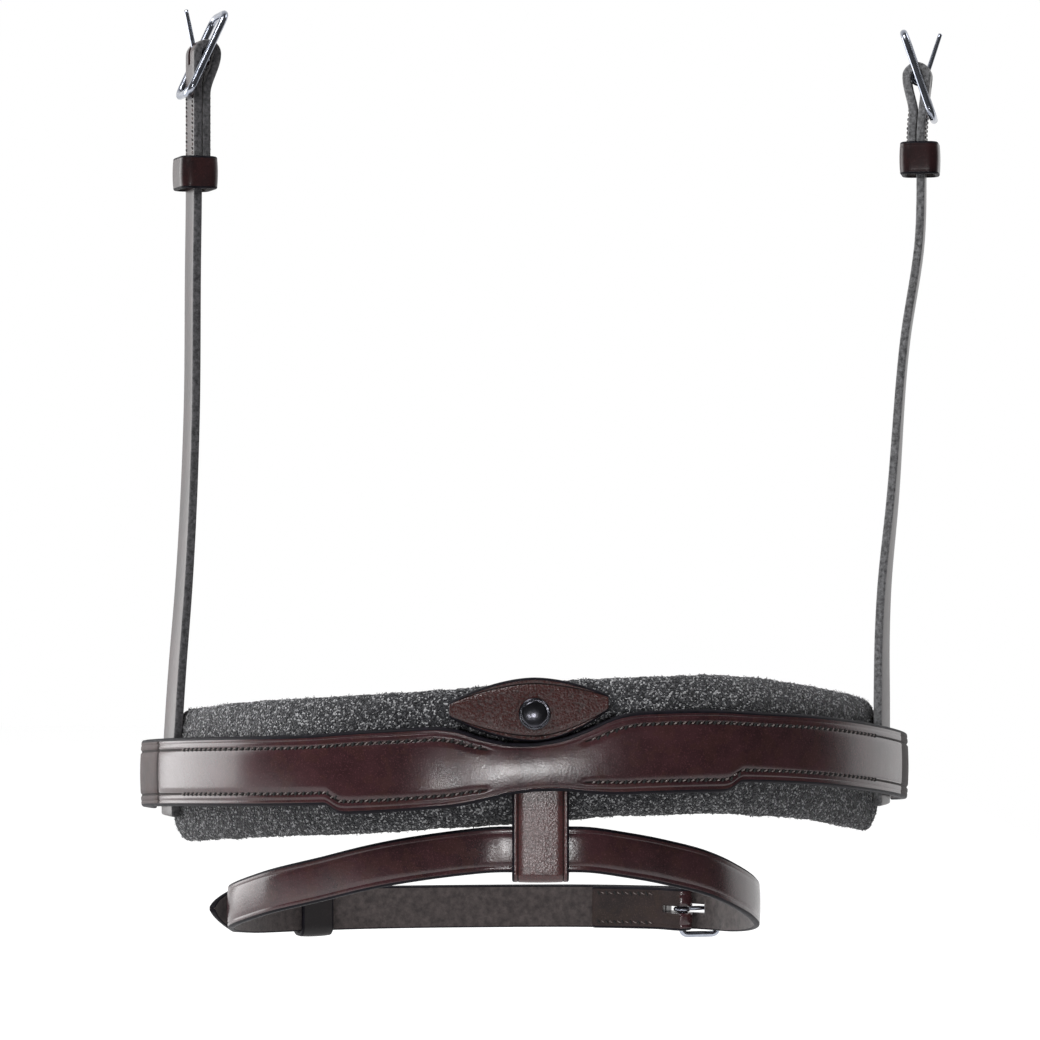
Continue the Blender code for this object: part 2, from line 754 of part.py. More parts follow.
def tab_outline():
    """Lens outline from two arcs between a truncated left tip and a blunt right end."""
    upper, lower = [], []
    for share in np.linspace(-1, 1, TAB_ARC_STEPS + 1):
        tip_share = TAB_TIP_SHARE if share < 0 else TAB_TIP_SHARE_RIGHT
        reach = TAB_HALF_WIDTH_LEFT if share < 0 else TAB_HALF_WIDTH_RIGHT
        tip = TAB_BOTTOM + tip_share * TAB_HEIGHT
        swell = 1 - abs(share) ** TAB_ARC_POWER
        for arc, way, end in ((upper, 1, TAB_BOTTOM + TAB_HEIGHT), (lower, -1, TAB_BOTTOM)):
            blunt = tip + way * TAB_TIP_HALF_HEIGHT
            arc.append((share * reach, blunt + (end - blunt) * swell))
    return upper, lower


def tab_outs():
    """How far out the middles of the tab's lining and of its face layer lie."""
    lining_out = leaf_outs()[0] + LEAF_THICKNESS / 2 - TAB_LINING_THICKNESS / 2
    return lining_out, lining_out + TAB_LINING_THICKNESS / 2 + GAP + TAB_THICKNESS / 2


def tab_layer(name, out, thickness, look):
    """One flat leather layer of the tab, hinged at its lower tip on the tab's face."""
    upper, lower = tab_outline()
    depth = -BAND_FACE_DEPTH - out
    lows = [Vector((x, depth, z)) for x, z in lower]
    highs = [Vector((x, depth, z)) for x, z in upper]
    face = -BAND_FACE_DEPTH - tab_outs()[1] - TAB_THICKNESS / 2
    hinge = Vector((0, face, TAB_BOTTOM - TAB_HINGE_DROP))
    return leather(name, lows, highs, thickness, look, hinge)


def stud_matrix():
    """Frame of the snap fastener: Z points out of the tab's face."""
    place = Vector((0, -BAND_FACE_DEPTH, stud_height()))
    return Matrix.Translation(place) @ Matrix.Rotation(math.pi / 2, 4, "X")


def make_tab():
    """Tab, its lining, and the snap fastener that joins them to the loop's back leaf."""
    back_out = leaf_outs()[1]
    lining_out, tab_out = tab_outs()
    lining = tab_layer("flash_tab_lining", lining_out, TAB_LINING_THICKNESS, DARK_LEATHER)
    tab = tab_layer("flash_tab", tab_out, TAB_THICKNESS, LEATHER)
    cut(tab, round_cutter("stud_hole", stud_matrix(), STUD_STEM_RADIUS + GAP,
                          2 * BAND_FACE_DEPTH, TURN_STEPS))
    cut(lining, round_cutter("socket_hole", stud_matrix(), SOCKET_RADIUS + GAP,
                             2 * BAND_FACE_DEPTH, TURN_STEPS))
    face = tab_out + TAB_THICKNESS / 2 + GAP
    socket_front = lining_out + TAB_LINING_THICKNESS / 2
    socket_back = lining_out - TAB_LINING_THICKNESS / 2
    crown = face + STUD_HEIGHT
    shoulder = crown - STUD_RIM / 2
    cap = [
        (0, crown), (STUD_RADIUS / 2, crown - STUD_RIM / 8), (STUD_RADIUS - STUD_RIM, shoulder),
        (STUD_RADIUS - STUD_RIM / 3, shoulder), (STUD_RADIUS, crown - STUD_RIM),
        (STUD_RADIUS, face), (STUD_STEM_RADIUS, face), (STUD_STEM_RADIUS, socket_front + GAP),
        (0, socket_front + GAP),
    ]
    turned("snap_cap", cap, stud_matrix(), GUNMETAL)
    socket = [(SOCKET_BORE, socket_front), (SOCKET_RADIUS, socket_front),
              (SOCKET_RADIUS, socket_back), (SOCKET_BORE, socket_back)]
    turned("snap_socket", socket, stud_matrix(), STEEL)
    head_low = back_out + LEAF_THICKNESS / 2 + GAP
    head_high = socket_front - GAP
    foot = back_out - LEAF_THICKNESS / 2
    post = [
        (0, head_high), (SNAP_CROWN_RADIUS, head_high),
        (SNAP_HEAD_RADIUS, (head_high + head_low) / 2), (SNAP_HEAD_RADIUS, head_low),
        (SNAP_STEM_RADIUS, head_low), (SNAP_STEM_RADIUS, foot), (0, foot),
    ]
    turned("snap_post", post, stud_matrix(), STEEL)


def hanger_bar(side):
    """Height of the buckle's bar on a hanger and how far out it lies."""
    return HANGER_RISES[side], -(HANGER_THICKNESS / 2 + GAP + WIRE_RADIUS)


def make_hanger(side):
    course = hanger_course(side)
    half = HANGER_WIDTH / 2
    flex = HANGER_FLEX_RISE
    bar_place, bar_out = hanger_bar(side)
    tail = [(-HANGER_TAIL_DROP, 0, -half, half), (flex - HANGER_FLEX_GAP / 2, 0, -half, half)]
    strap("hanger_tail_" + side, course, tail, HANGER_THICKNESS, DARK_LEATHER)
    rows = fold_rows(bar_place, 0, HANGER_FOLD_BORE, HANGER_THICKNESS,
                     HANGER_FOLD_LENGTHS[side], half, -1)
    seat_top = bar_place - HANGER_KEEPER_DROPS[side] - HANGER_KEEPER_LENGTH / 2 - 2 * GAP
    for along in (bar_place - BUCKLE_LENGTH / 2, seat_top, seat_top - SEAT_LENGTH):
        rows.append((along, 0, -half, half))
    low = flex + HANGER_FLEX_GAP / 2
    for along in np.linspace(seat_top - SEAT_LENGTH, low, HANGER_STATIONS)[1:]:
        rows.append((along, 0, -half, half))
    body = strap("hanger_" + side, course, rows, HANGER_THICKNESS, LEATHER, course.place(flex))
    fold = HANGER_FOLD_BORE + HANGER_THICKNESS + CUT_OVERRUN
    cut_tongue_slot(body, "hanger_" + side, course.frame(bar_place, bar_out),
                    -HANGER_SLOT_BACK, fold, fold)
    make_hanger_metal(side, course, bar_place, bar_out)
    drop = HANGER_KEEPER_DROPS[side]
    frame = course.frame(bar_place - drop)
    keeper("hanger_keeper_" + side, frame, HANGER_KEEPER_LENGTH,
           HANGER_KEEPER_OUT, HANGER_KEEPER_IN, half + GAP)


def make_hanger_metal(side, course, bar_place, bar_out):
    """Buckle frame and tongue of a hanger, both on the buckle's bar."""
    at_bar = course.frame(bar_place, bar_out)
    tilted = at_bar @ Matrix.Rotation(full_buckle_tilt(), 4, "Y")
    reach = BUCKLE_LENGTH / 2 - WIRE_RADIUS
    frame = buckle("hanger_buckle_" + side, tilted, -reach, reach, HANGER_WIDTH,
                   WIRE_RADIUS, STEEL)
    tongue("hanger_tongue_" + side, at_bar, WIRE_RADIUS, TONGUE_LENGTH,
           TONGUE_OPEN_ANGLE, STEEL, frame)


def half_buckle(name, course, bar_place, bar_out, strap_width, thickness, facing):
    """Half buckle and tongue at a strap's folded end; facing is the way the strap leaves it."""
    at_bar = course.frame(bar_place, bar_out)
    if facing > 0:
        at_bar = at_bar @ Matrix.Rotation(math.pi, 4, "Z")
    tilt = half_buckle_tilt(thickness)
    tilted = at_bar @ Matrix.Rotation(-tilt, 4, "Y")
    frame = buckle(name + "_buckle", tilted, 0, HALF_BUCKLE_LENGTH, strap_width,
                   HALF_WIRE_RADIUS, STEEL, HALF_BUCKLE_CORNER)
    tongue(name + "_tongue", at_bar, HALF_WIRE_RADIUS,
           HALF_BUCKLE_LENGTH + 2 * HALF_WIRE_RADIUS, tilt, STEEL, frame)


def half_buckle_out(thickness):
    return -(thickness / 2 + GAP + HALF_WIRE_RADIUS)


def billet_rise(distance):
    """Share of its lift that a billet has at a distance before the buckle's bar."""
    return ease((BILLET_RISE_RUN - distance) / (BILLET_RISE_RUN * BILLET_RISE_SHARE))


def half_buckle_tilt(thickness):
    """Tilt that brings the frame's far end over the billet."""
    billet = (thickness + GAP) * RISE_SHARE + thickness / 2
    lift = billet + 2 * GAP + HALF_WIRE_RADIUS - half_buckle_out(thickness)
    return math.asin(lift / HALF_BUCKLE_LENGTH)


def full_buckle_tilt():
    """Tilt that brings the frame's lower end over the strap."""
    lift = 2 * (HANGER_THICKNESS / 2 + GAP + WIRE_RADIUS)
    return math.asin(lift / (BUCKLE_LENGTH / 2 - WIRE_RADIUS - BUCKLE_CORNER / 4))


def tip_half_width(half, taper):
    """Half width of a pointed billet, taper running from 0 to 1 at its tip."""
    return half + (TIP_HALF_WIDTH - half) * taper ** TIP_POWER


def flash_rows():
    """Rows of the flash strap: its fold, the ring, then the billet over the back to its tip."""
    half = FLASH_WIDTH / 2
    bore = HALF_WIRE_RADIUS + HALF_FOLD_SLACK
    rows = fold_rows(0, 0, bore, FLASH_THICKNESS, FLASH_FOLD_LENGTH, half, 1)
    total = FLASH_RING.total
    lap = FLASH_THICKNESS + GAP
    for along in np.linspace(0, total, FLASH_STATIONS)[1:]:
        out = lap * billet_rise(total - along)
        rows.append((along, out, -half, half))
    tip_start = FLASH_TAIL_LENGTH - FLASH_TIP_LENGTH
    for along in np.linspace(0, FLASH_TAIL_LENGTH, FLASH_TAIL_STATIONS)[1:]:
        taper = max(along - tip_start, 0) / FLASH_TIP_LENGTH
        width = tip_half_width(half, taper)
        flare = FLASH_TAIL_FLARE * ease(taper)
        rows.append((total + along, lap + flare, -width, width))
    return rows


def make_flash_strap():
    origin = LOOP_LINE.place(-FLASH_DROP, 0)
    body = strap("flash_strap", FLASH_RING, flash_rows(), FLASH_THICKNESS, LEATHER, origin)
    bar_out = half_buckle_out(FLASH_THICKNESS)
    lap = FLASH_THICKNESS + GAP
    cut_half_slot(body, "flash", FLASH_RING, 0, bar_out)
    cut_billet_holes(body, "flash", FLASH_RING, FLASH_RING.total - HOLE_PLACE, (lap, lap),
                     FLASH_THICKNESS, 1)
    half_buckle("flash", FLASH_RING, 0, bar_out, FLASH_WIDTH, FLASH_THICKNESS, 1)
    frame = FLASH_RING.frame(FLASH_KEEPER_PLACE)
    face = FLASH_THICKNESS / 2 + GAP + KEEPER_EASE
    keeper("flash_keeper", frame, FLASH_KEEPER_LENGTH, face + lap, face, FLASH_WIDTH / 2 + GAP)


def cut_tongue_slot(body, name, at_bar, start, end, depth):
    """Slot in a folded end that the tongue's eye turns in, between two places by the bar."""
    width = 2 * (TONGUE_RADIUS + TONGUE_SLOT_CLEARANCE)
    middle = at_bar @ Matrix.Translation(((start + end) / 2, 0, 0))
    cut(body, box_cutter(name + "_tongue_slot", middle, (end - start, width, 2 * depth)))


def cut_half_slot(body, name, course, bar_place, bar_out):
    reach = HALF_SLOT_REACH
    cut_tongue_slot(body, name, course.frame(bar_place, bar_out), -reach, reach, reach)


def cut_billet_holes(body, name, course, engaged, out, thickness, facing):
    """The long hole that the tongue goes through, and the spare holes beyond it."""
    depth = thickness + GAP
    size = (TONGUE_HOLE_LENGTH, 2 * HOLE_RADIUS, 2 * depth)
    cut(body, box_cutter(name + "_tongue_hole", course.frame(engaged, out[0]), size))
    for i in range(HOLE_COUNT):
        frame = course.frame(engaged + facing * (i + 1) * HOLE_SPACING, out[1])
        cut(body, round_cutter(name + "_hole_" + str(i), frame, HOLE_RADIUS, depth))


def make_chin_strap():
    """The strap behind: a billet from the left, and a buckle strap from the right."""
    half = CHIN_WIDTH / 2
    lap = CHIN_THICKNESS + GAP
    under = -GAP - CHIN_THICKNESS / 2
    bar_out = under + half_buckle_out(CHIN_THICKNESS)
    fold = fold_rows(CHIN_BAR_PLACE, under, HALF_WIRE_RADIUS + HALF_FOLD_SLACK, CHIN_THICKNESS,
                     CHIN_FOLD_LENGTH, half, -1)
    run = [(along, under, -half, half)
           for along in np.linspace(CHIN_BAR_PLACE, CHIN_START, CHIN_RUN_STATIONS)[1:]]
    buckle_strap = strap("chin_buckle_strap", RING, fold + run, CHIN_THICKNESS)
    cut_half_slot(buckle_strap, "chin", RING, CHIN_BAR_PLACE, bar_out)
    total = RING.total
    rows = []
    for along in np.linspace(-CHIN_START, CHIN_TIP_PLACE - total, CHIN_STATIONS):
        out = under + lap * billet_rise(along - CHIN_BAR_PLACE + total)
        taper = max(CHIN_TIP_PLACE - total + CHIN_TIP_LENGTH - along, 0) / CHIN_TIP_LENGTH
        width = tip_half_width(half, taper)
        rows.append((along, out, -width, width))
    billet = strap("chin_billet", RING, rows, CHIN_THICKNESS)
    half_buckle("chin", RING, CHIN_BAR_PLACE, bar_out, CHIN_WIDTH, CHIN_THICKNESS, -1)
    cut_billet_holes(billet, "chin", RING, CHIN_BAR_PLACE + HOLE_PLACE, (under + lap, under),
                     CHIN_THICKNESS, 1)
    face = CHIN_THICKNESS / 2 + GAP + KEEPER_EASE
    for name, place, layers in (("chin_keeper_fixed", CHIN_FIXED_KEEPER_PLACE, lap),
                                ("chin_keeper_loose", CHIN_LOOSE_KEEPER_PLACE, 0)):
        keeper(name, RING.frame(place, under), CHIN_KEEPER_LENGTH, face + lap, face + layers,
               half + GAP)


clear_scene()
PARTS = new_collection("flash_noseband")
CUTTERS = new_collection("cutters")
RING = ring_course(RING_SLOPE, 1)
PAD_RING = ring_course(PAD_SLOPE, PAD_LIFT_SHARE)
LOOP_LINE = loop_course()
FLASH_RING = flash_course()

make_nose_band()
make_backing("left", -1)
make_backing("right", 1)
make_pad()
make_leaves()
make_loop()
make_tab()
make_hanger("left")
make_hanger("right")
make_flash_strap()
make_chin_strap()
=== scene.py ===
"""Looks of the flash noseband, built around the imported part.

Metres, +Z up; the front of the noseband faces -Y. Straps follow the same courses as the part.
"""
import json
import math

import bmesh
import bpy
import numpy as np
from mathutils import Matrix, Vector, noise

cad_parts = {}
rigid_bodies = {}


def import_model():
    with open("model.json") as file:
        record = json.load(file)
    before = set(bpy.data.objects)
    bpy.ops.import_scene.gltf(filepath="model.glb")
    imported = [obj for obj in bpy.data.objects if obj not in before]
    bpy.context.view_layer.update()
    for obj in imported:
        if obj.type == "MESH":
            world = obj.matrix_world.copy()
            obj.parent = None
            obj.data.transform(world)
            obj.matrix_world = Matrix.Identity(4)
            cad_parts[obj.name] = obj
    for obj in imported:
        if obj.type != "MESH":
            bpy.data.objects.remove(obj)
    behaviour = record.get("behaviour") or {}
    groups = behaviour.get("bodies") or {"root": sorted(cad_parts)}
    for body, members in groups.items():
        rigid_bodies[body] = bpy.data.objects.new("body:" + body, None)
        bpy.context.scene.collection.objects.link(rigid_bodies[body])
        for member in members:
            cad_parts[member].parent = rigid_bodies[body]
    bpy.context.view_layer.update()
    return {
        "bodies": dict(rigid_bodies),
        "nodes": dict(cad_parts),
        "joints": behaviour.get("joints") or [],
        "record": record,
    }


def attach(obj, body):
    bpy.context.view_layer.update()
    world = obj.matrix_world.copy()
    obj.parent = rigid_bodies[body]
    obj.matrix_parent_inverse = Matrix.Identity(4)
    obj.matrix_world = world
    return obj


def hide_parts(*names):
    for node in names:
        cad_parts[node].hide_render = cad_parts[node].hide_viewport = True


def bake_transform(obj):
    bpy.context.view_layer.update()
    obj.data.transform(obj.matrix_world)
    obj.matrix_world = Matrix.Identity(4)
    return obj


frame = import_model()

# Between layers that lie on each other
GAP = 0.0003

# Courses of the part
RING_HALF_WIDTH = 0.1352
RING_REACH = 0.108
RING_BACK_REACH = 0.075
RING_FLATNESS = 3.0
RING_CORNER = 0.81
RING_SLOPE = 0.11
SIDE_LIFT = 0.0037
SIDE_LIFT_PLACE = 0.075
COURSE_STEPS = 400
BAND_HALF_LENGTH = 0.205
BAND_HALF_HEIGHT = 0.012
BAND_THICKNESS = 0.0032
BAND_OUTLINE_SHARES = (
    (0.000, 0.36, 0.97), (0.045, 0.44, 1.02), (0.085, 0.64, 1.14), (0.130, 0.93, 1.23),
    (0.175, 1.03, 1.25), (0.300, 1.02, 1.27), (0.318, 1.01, 1.24), (0.345, 0.99, 1.00),
    (0.520, 0.98, 1.00), (1.000, 1.00, 1.00),
)
PAD_THICKNESS = 0.009
PAD_HALF_LENGTH = 0.175
PAD_HALF_HEIGHT = 0.0232
PAD_RISE = 0.0006
PAD_SLOPE = 0.135
PAD_LIFT_SHARE = 0.89
PAD_END_ROUND = 0.013
LEAF_THICKNESS = 0.0016
LEAF_WIDTH = 0.0188
LOOP_X = 0.0021
LOOP_FLEX_DROP = 0.0008
LOOP_SPREAD_RISE = 0.0045
BACK_LEAF_TOP_SHARE = 0.62
TAB_HALF_WIDTH_LEFT = 0.0281
TAB_HALF_WIDTH_RIGHT = 0.0245
TAB_BOTTOM = 0.0047
TAB_HEIGHT = 0.0213
TAB_TIP_HALF_HEIGHT = 0.0026
TAB_TIP_SHARE = 0.50
TAB_TIP_SHARE_RIGHT = 0.61
TAB_ARC_POWER = 1.8
TAB_THICKNESS = 0.0018
TAB_LINING_THICKNESS = 0.0015
TAB_HINGE_DROP = 0.0008
STUD_RADIUS = 0.0053
STUD_HEIGHT = 0.0022
STUD_RISE_SHARE = 0.44
HANGER_PLACE = 0.166
HANGER_WIDTH = 0.013
HANGER_THICKNESS = 0.0031
HANGER_TAIL_DROP = 0.0155
HANGER_FLEX_RISE = 0.0235
HANGER_FLEX_TOP = HANGER_FLEX_RISE + 0.008
HANGER_FOLD_LENGTHS = {"left": 0.047, "right": 0.0335}
HANGER_FOLD_BORE = 0.0021
HANGER_LINE_OVERRUN = 0.0104
HANGER_RISES = {"left": 0.2537, "right": 0.2425}
HANGER_LEANS = {"left": -0.0086, "right": 0.0144}
HANGER_LEAN_SHARES = {
    "left": ((0.0, 0.0), (0.14, 0.28), (0.26, 0.57), (0.49, 0.90), (0.70, 0.96),
             (0.82, 1.0), (1.0, 1.0)),
    "right": ((0.0, 0.0), (0.13, 0.0), (0.25, 0.06), (0.38, 0.27), (0.61, 0.58),
              (0.77, 0.97), (0.84, 1.0), (0.905, 1.0), (1.0, 1.16)),
}
HANGER_TWISTS = {"left": math.radians(-4), "right": math.radians(11)}
HANGER_TWIST_SHARES = ((0.09, 0.0), (0.35, 0.55), (0.60, 1.0), (1.0, 1.0))
HANGER_KEEPER_DROPS = {"left": 0.0421, "right": 0.0289}
HANGER_KEEPER_LENGTH = 0.0115
HANGER_KEEPER_OUT = 0.0045
HANGER_KEEPER_IN = 0.0058
KEEPER_WALL = 0.0018
KEEPER_CORNER = 0.0022
KEEPER_EASE = 0.0010
WIRE_RADIUS = 0.0013
BUCKLE_LENGTH = 0.034
BUCKLE_CORNER = 0.0035
BUCKLE_SIDE_CLEARANCE = 0.0005
TONGUE_RADIUS = 0.0009
TONGUE_BORE_GAP = 0.0002
TONGUE_LENGTH = 0.0165
TONGUE_OPEN_ANGLE = math.radians(12)
TONGUE_SLOT_CLEARANCE = 0.0004
EYE_WRAP = math.radians(300)
FLASH_WIDTH = 0.0152
FLASH_THICKNESS = 0.0024
FLASH_CENTRE_X = -0.012
FLASH_HALF_WIDTH = 0.0918
FLASH_DEPTH = 0.118
FLASH_DROP = 0.0312
FLASH_FALL = 0.0648
FLASH_FALL_EASE = 0.0335
FLASH_PLAN_SHARES = (
    (0.76, 0.93), (0.40, 1.00), (-0.10, 1.00), (-0.52, 0.965), (-0.80, 0.88), (-0.94, 0.74),
    (-1.00, 0.55), (-0.86, 0.345), (-0.62, 0.195), (-0.44, 0.105), (-0.25, 0.045),
    (-0.04, 0.003), (0.10, 0.000), (0.20, 0.000), (0.33, 0.003), (0.46, 0.034), (0.60, 0.080),
    (0.76, 0.158), (0.88, 0.27), (0.97, 0.42), (1.00, 0.60), (0.92, 0.81),
)
FLASH_FOLD_LENGTH = 0.034
FLASH_TIP_LENGTH = 0.011
FLASH_TAIL_LENGTH = 0.186
FLASH_TAIL_FLARE = 0.004
FLASH_KEEPER_PLACE = 0.136
FLASH_KEEPER_LENGTH = 0.012
BILLET_RISE_RUN = 0.024
BILLET_RISE_SHARE = 0.85
TIP_HALF_WIDTH = 0.0008
TIP_POWER = 1.5
CHIN_WIDTH = 0.019
CHIN_THICKNESS = 0.0024
CHIN_START = 0.181
CHIN_BAR_PLACE = 0.275
CHIN_TIP_PLACE = 0.222
CHIN_FOLD_LENGTH = 0.034
CHIN_TIP_LENGTH = 0.010
CHIN_FIXED_KEEPER_PLACE = 0.251
CHIN_LOOSE_KEEPER_PLACE = 0.236
CHIN_KEEPER_LENGTH = 0.008
HALF_WIRE_RADIUS = 0.0011
HALF_BUCKLE_LENGTH = 0.013
HALF_BUCKLE_CORNER = 0.002
HALF_FOLD_SLACK = 0.0005
RISE_SHARE = 0.65
HOLE_PLACE = 0.0034
TONGUE_HOLE_LENGTH = 0.008
HALF_SLOT_REACH = 0.0064
HANGER_SLOT_BACK = 0.0036
HOLE_RADIUS = 0.0016
HOLE_SPACING = 0.018
HOLE_COUNT = 4
FOLD_NECK_SHARE = 4

UP = Vector((0, 0, 1))
TUNNEL_DEPTH = GAP + LEAF_THICKNESS + GAP + LEAF_THICKNESS + GAP
BAND_FACE_DEPTH = PAD_THICKNESS + TUNNEL_DEPTH


def smooth_through(shares, at, column=1):
    """Value of a table of shares at a place, on a smooth curve through its rows."""
    places = np.array([row[0] for row in shares])
    values = np.array([row[column] for row in shares])
    slopes = np.gradient(values, places)
    flat = np.zeros(len(values), dtype=bool)
    flat[1:-1] = np.diff(values)[:-1] * np.diff(values)[1:] <= 0
    slopes[flat] = 0
    at = float(np.clip(at, places[0], places[-1]))
    i = int(np.clip(np.searchsorted(places, at) - 1, 0, len(places) - 2))
    run = places[i + 1] - places[i]
    t = (at - places[i]) / run
    start = (2 * t ** 3 - 3 * t ** 2 + 1) * values[i] + (t ** 3 - 2 * t ** 2 + t) * run * slopes[i]
    end = (3 * t ** 2 - 2 * t ** 3) * values[i + 1] + (t ** 3 - t ** 2) * run * slopes[i + 1]
    return float(start + end)


def ease(t):
    t = min(max(t, 0), 1)
    return t * t * (3 - 2 * t)


class Course:
    """A line in space that a strap follows, measured by the length along it."""

    def __init__(self, points, across, start=0.0, closed=False, twist=None):
        self.points = np.array(points, dtype=float)
        steps = np.linalg.norm(np.diff(self.points, axis=0), axis=1)
        self.lengths = start + np.concatenate(([0], np.cumsum(steps)))
        self.start = start
        self.total = self.lengths[-1] - start
        self.base_across = Vector(across).normalized()
        self.closed = closed
        self.twist = twist

    def _inside(self, along):
        if self.closed:
            return self.start + (along - self.start) % self.total
        return along

    def across(self, along=0.0):
        if self.twist is None:
            return self.base_across
        return Matrix.Rotation(self.twist(along), 3, "Z") @ self.base_across

    def middle(self, along):
        along = self._inside(along)
        return Vector([float(np.interp(along, self.lengths, self.points[:, k])) for k in range(3)])

    def heading(self, along):
        reach = self.total / COURSE_STEPS
        if self.closed:
            return (self.middle(along + reach) - self.middle(along - reach)).normalized()
        low = max(along - reach, self.lengths[0])
        high = min(along + reach, self.lengths[-1])
        return (self.middle(high) - self.middle(low)).normalized()

    def outward(self, along):
        return self.heading(along).cross(self.across(along)).normalized()

    def place(self, along, out=0.0, up=0.0):
        return (self.middle(along) + float(out) * self.outward(along)
                + float(up) * self.across(along))

    def frame(self, along, out=0.0):
        """Matrix with X along the course, Y across it and Z outward."""
        outward = self.outward(along)
        across = self.across(along)
        axes = Matrix((across.cross(outward), across, outward)).transposed().to_4x4()
        return Matrix.Translation(self.place(along, out)) @ axes


def side_lift(x):
    return SIDE_LIFT * math.sin(math.pi / 2 * x / SIDE_LIFT_PLACE)


def ring_plan_quarter(reach, front):
    points = []
    for turn in np.linspace(0, math.pi / 2, COURSE_STEPS):
        if front:
            x = RING_HALF_WIDTH * math.sin(turn) ** (2 / RING_FLATNESS)
            y = reach * (1 - math.cos(turn) ** (2 * RING_CORNER))
        else:
            x = RING_HALF_WIDTH * math.sin(turn)
            y = RING_REACH + reach * math.cos(turn)
        points.append((x, y))
    return points


def ring_course(slope, lift_share):
    """The noseband's closed ring, from the middle of the back round by the left to the front."""
    right_half = (ring_plan_quarter(RING_REACH, True)
                  + ring_plan_quarter(RING_BACK_REACH, False)[::-1][1:])
    left_half = [(-x, y) for x, y in right_half[::-1]]
    plan = left_half + right_half[1:]
    points = [(x, y - BAND_FACE_DEPTH, lift_share * side_lift(x) - slope * y) for x, y in plan]
    steps = np.linalg.norm(np.diff(np.array(points), axis=0), axis=1)
    return Course(points, UP, start=-float(np.sum(steps)) / 2, closed=True)


def curve_through(points, steps):
    """Closed smooth curve through the points (Catmull-Rom)."""
    count = len(points)
    corners = [np.array(p) for p in points]
    result = []
    for i in range(count):
        before, here = corners[i - 1], corners[i]
        after, beyond = corners[(i + 1) % count], corners[(i + 2) % count]
        for t in np.linspace(0, 1, steps, endpoint=False):
            result.append(0.5 * (2 * here + (after - before) * t
                                 + (2 * before - 5 * here + 4 * after - beyond) * t ** 2
                                 + (3 * here - before - 3 * after + beyond) * t ** 3))
    result.append(result[0])
    return result


def flash_course():
    """The flash strap's closed ring, from the buckle's bar along the back to the left."""
    front = -BAND_FACE_DEPTH + GAP + LEAF_THICKNESS + GAP + FLASH_THICKNESS / 2
    plan = curve_through([(FLASH_CENTRE_X + p * FLASH_HALF_WIDTH, q * FLASH_DEPTH)
                          for p, q in FLASH_PLAN_SHARES], 16)
    points = []
    for x, y in plan:
        share = y / FLASH_DEPTH
        height = -FLASH_DROP - FLASH_FALL * share + FLASH_FALL_EASE * share ** 2
        points.append((x, y + front, height))
    return Course(points, UP, closed=True)


def loop_course():
    """Vertical line in front of the pad that the flash loop follows; along is height."""
    low = -FLASH_DROP - FLASH_WIDTH
    high = TAB_BOTTOM + TAB_HEIGHT
    points = [(LOOP_X, -BAND_FACE_DEPTH, z) for z in np.linspace(low, high, 3)]
    return Course(points, (-1, 0, 0), start=low)


def hanger_course(side):
    sign = 1 if side == "right" else -1
    root = RING.place(sign * HANGER_PLACE, -(GAP + HANGER_THICKNESS / 2))
    outward = RING.outward(sign * HANGER_PLACE)
    rise = HANGER_RISES[side]
    heights = np.concatenate(([-HANGER_TAIL_DROP], np.linspace(0, rise, 60),
                              [rise + HANGER_LINE_OVERRUN]))
    points = []
    for height in (float(value) for value in heights):
        lean = HANGER_LEANS[side] * smooth_through(HANGER_LEAN_SHARES[side], height / rise)
        points.append(root + lean * outward + height * UP)
    return Course([tuple(p) for p in points], outward.cross(UP), start=-HANGER_TAIL_DROP,
                  twist=lambda along: HANGER_TWISTS[side] * smooth_through(HANGER_TWIST_SHARES,
                                                                           along / rise))


def band_edges(along):
    share = abs(along) / BAND_HALF_LENGTH
    high = BAND_HALF_HEIGHT * smooth_through(BAND_OUTLINE_SHARES, share, 1)
    low = -BAND_HALF_HEIGHT * smooth_through(BAND_OUTLINE_SHARES, share, 2)
    return low, high


RING = ring_course(RING_SLOPE, 1)
PAD_RING = ring_course(PAD_SLOPE, PAD_LIFT_SHARE)
FLASH_RING = flash_course()
LOOP_LINE = loop_course()
HANGERS = {side: hanger_course(side) for side in ("left", "right")}


# Materials


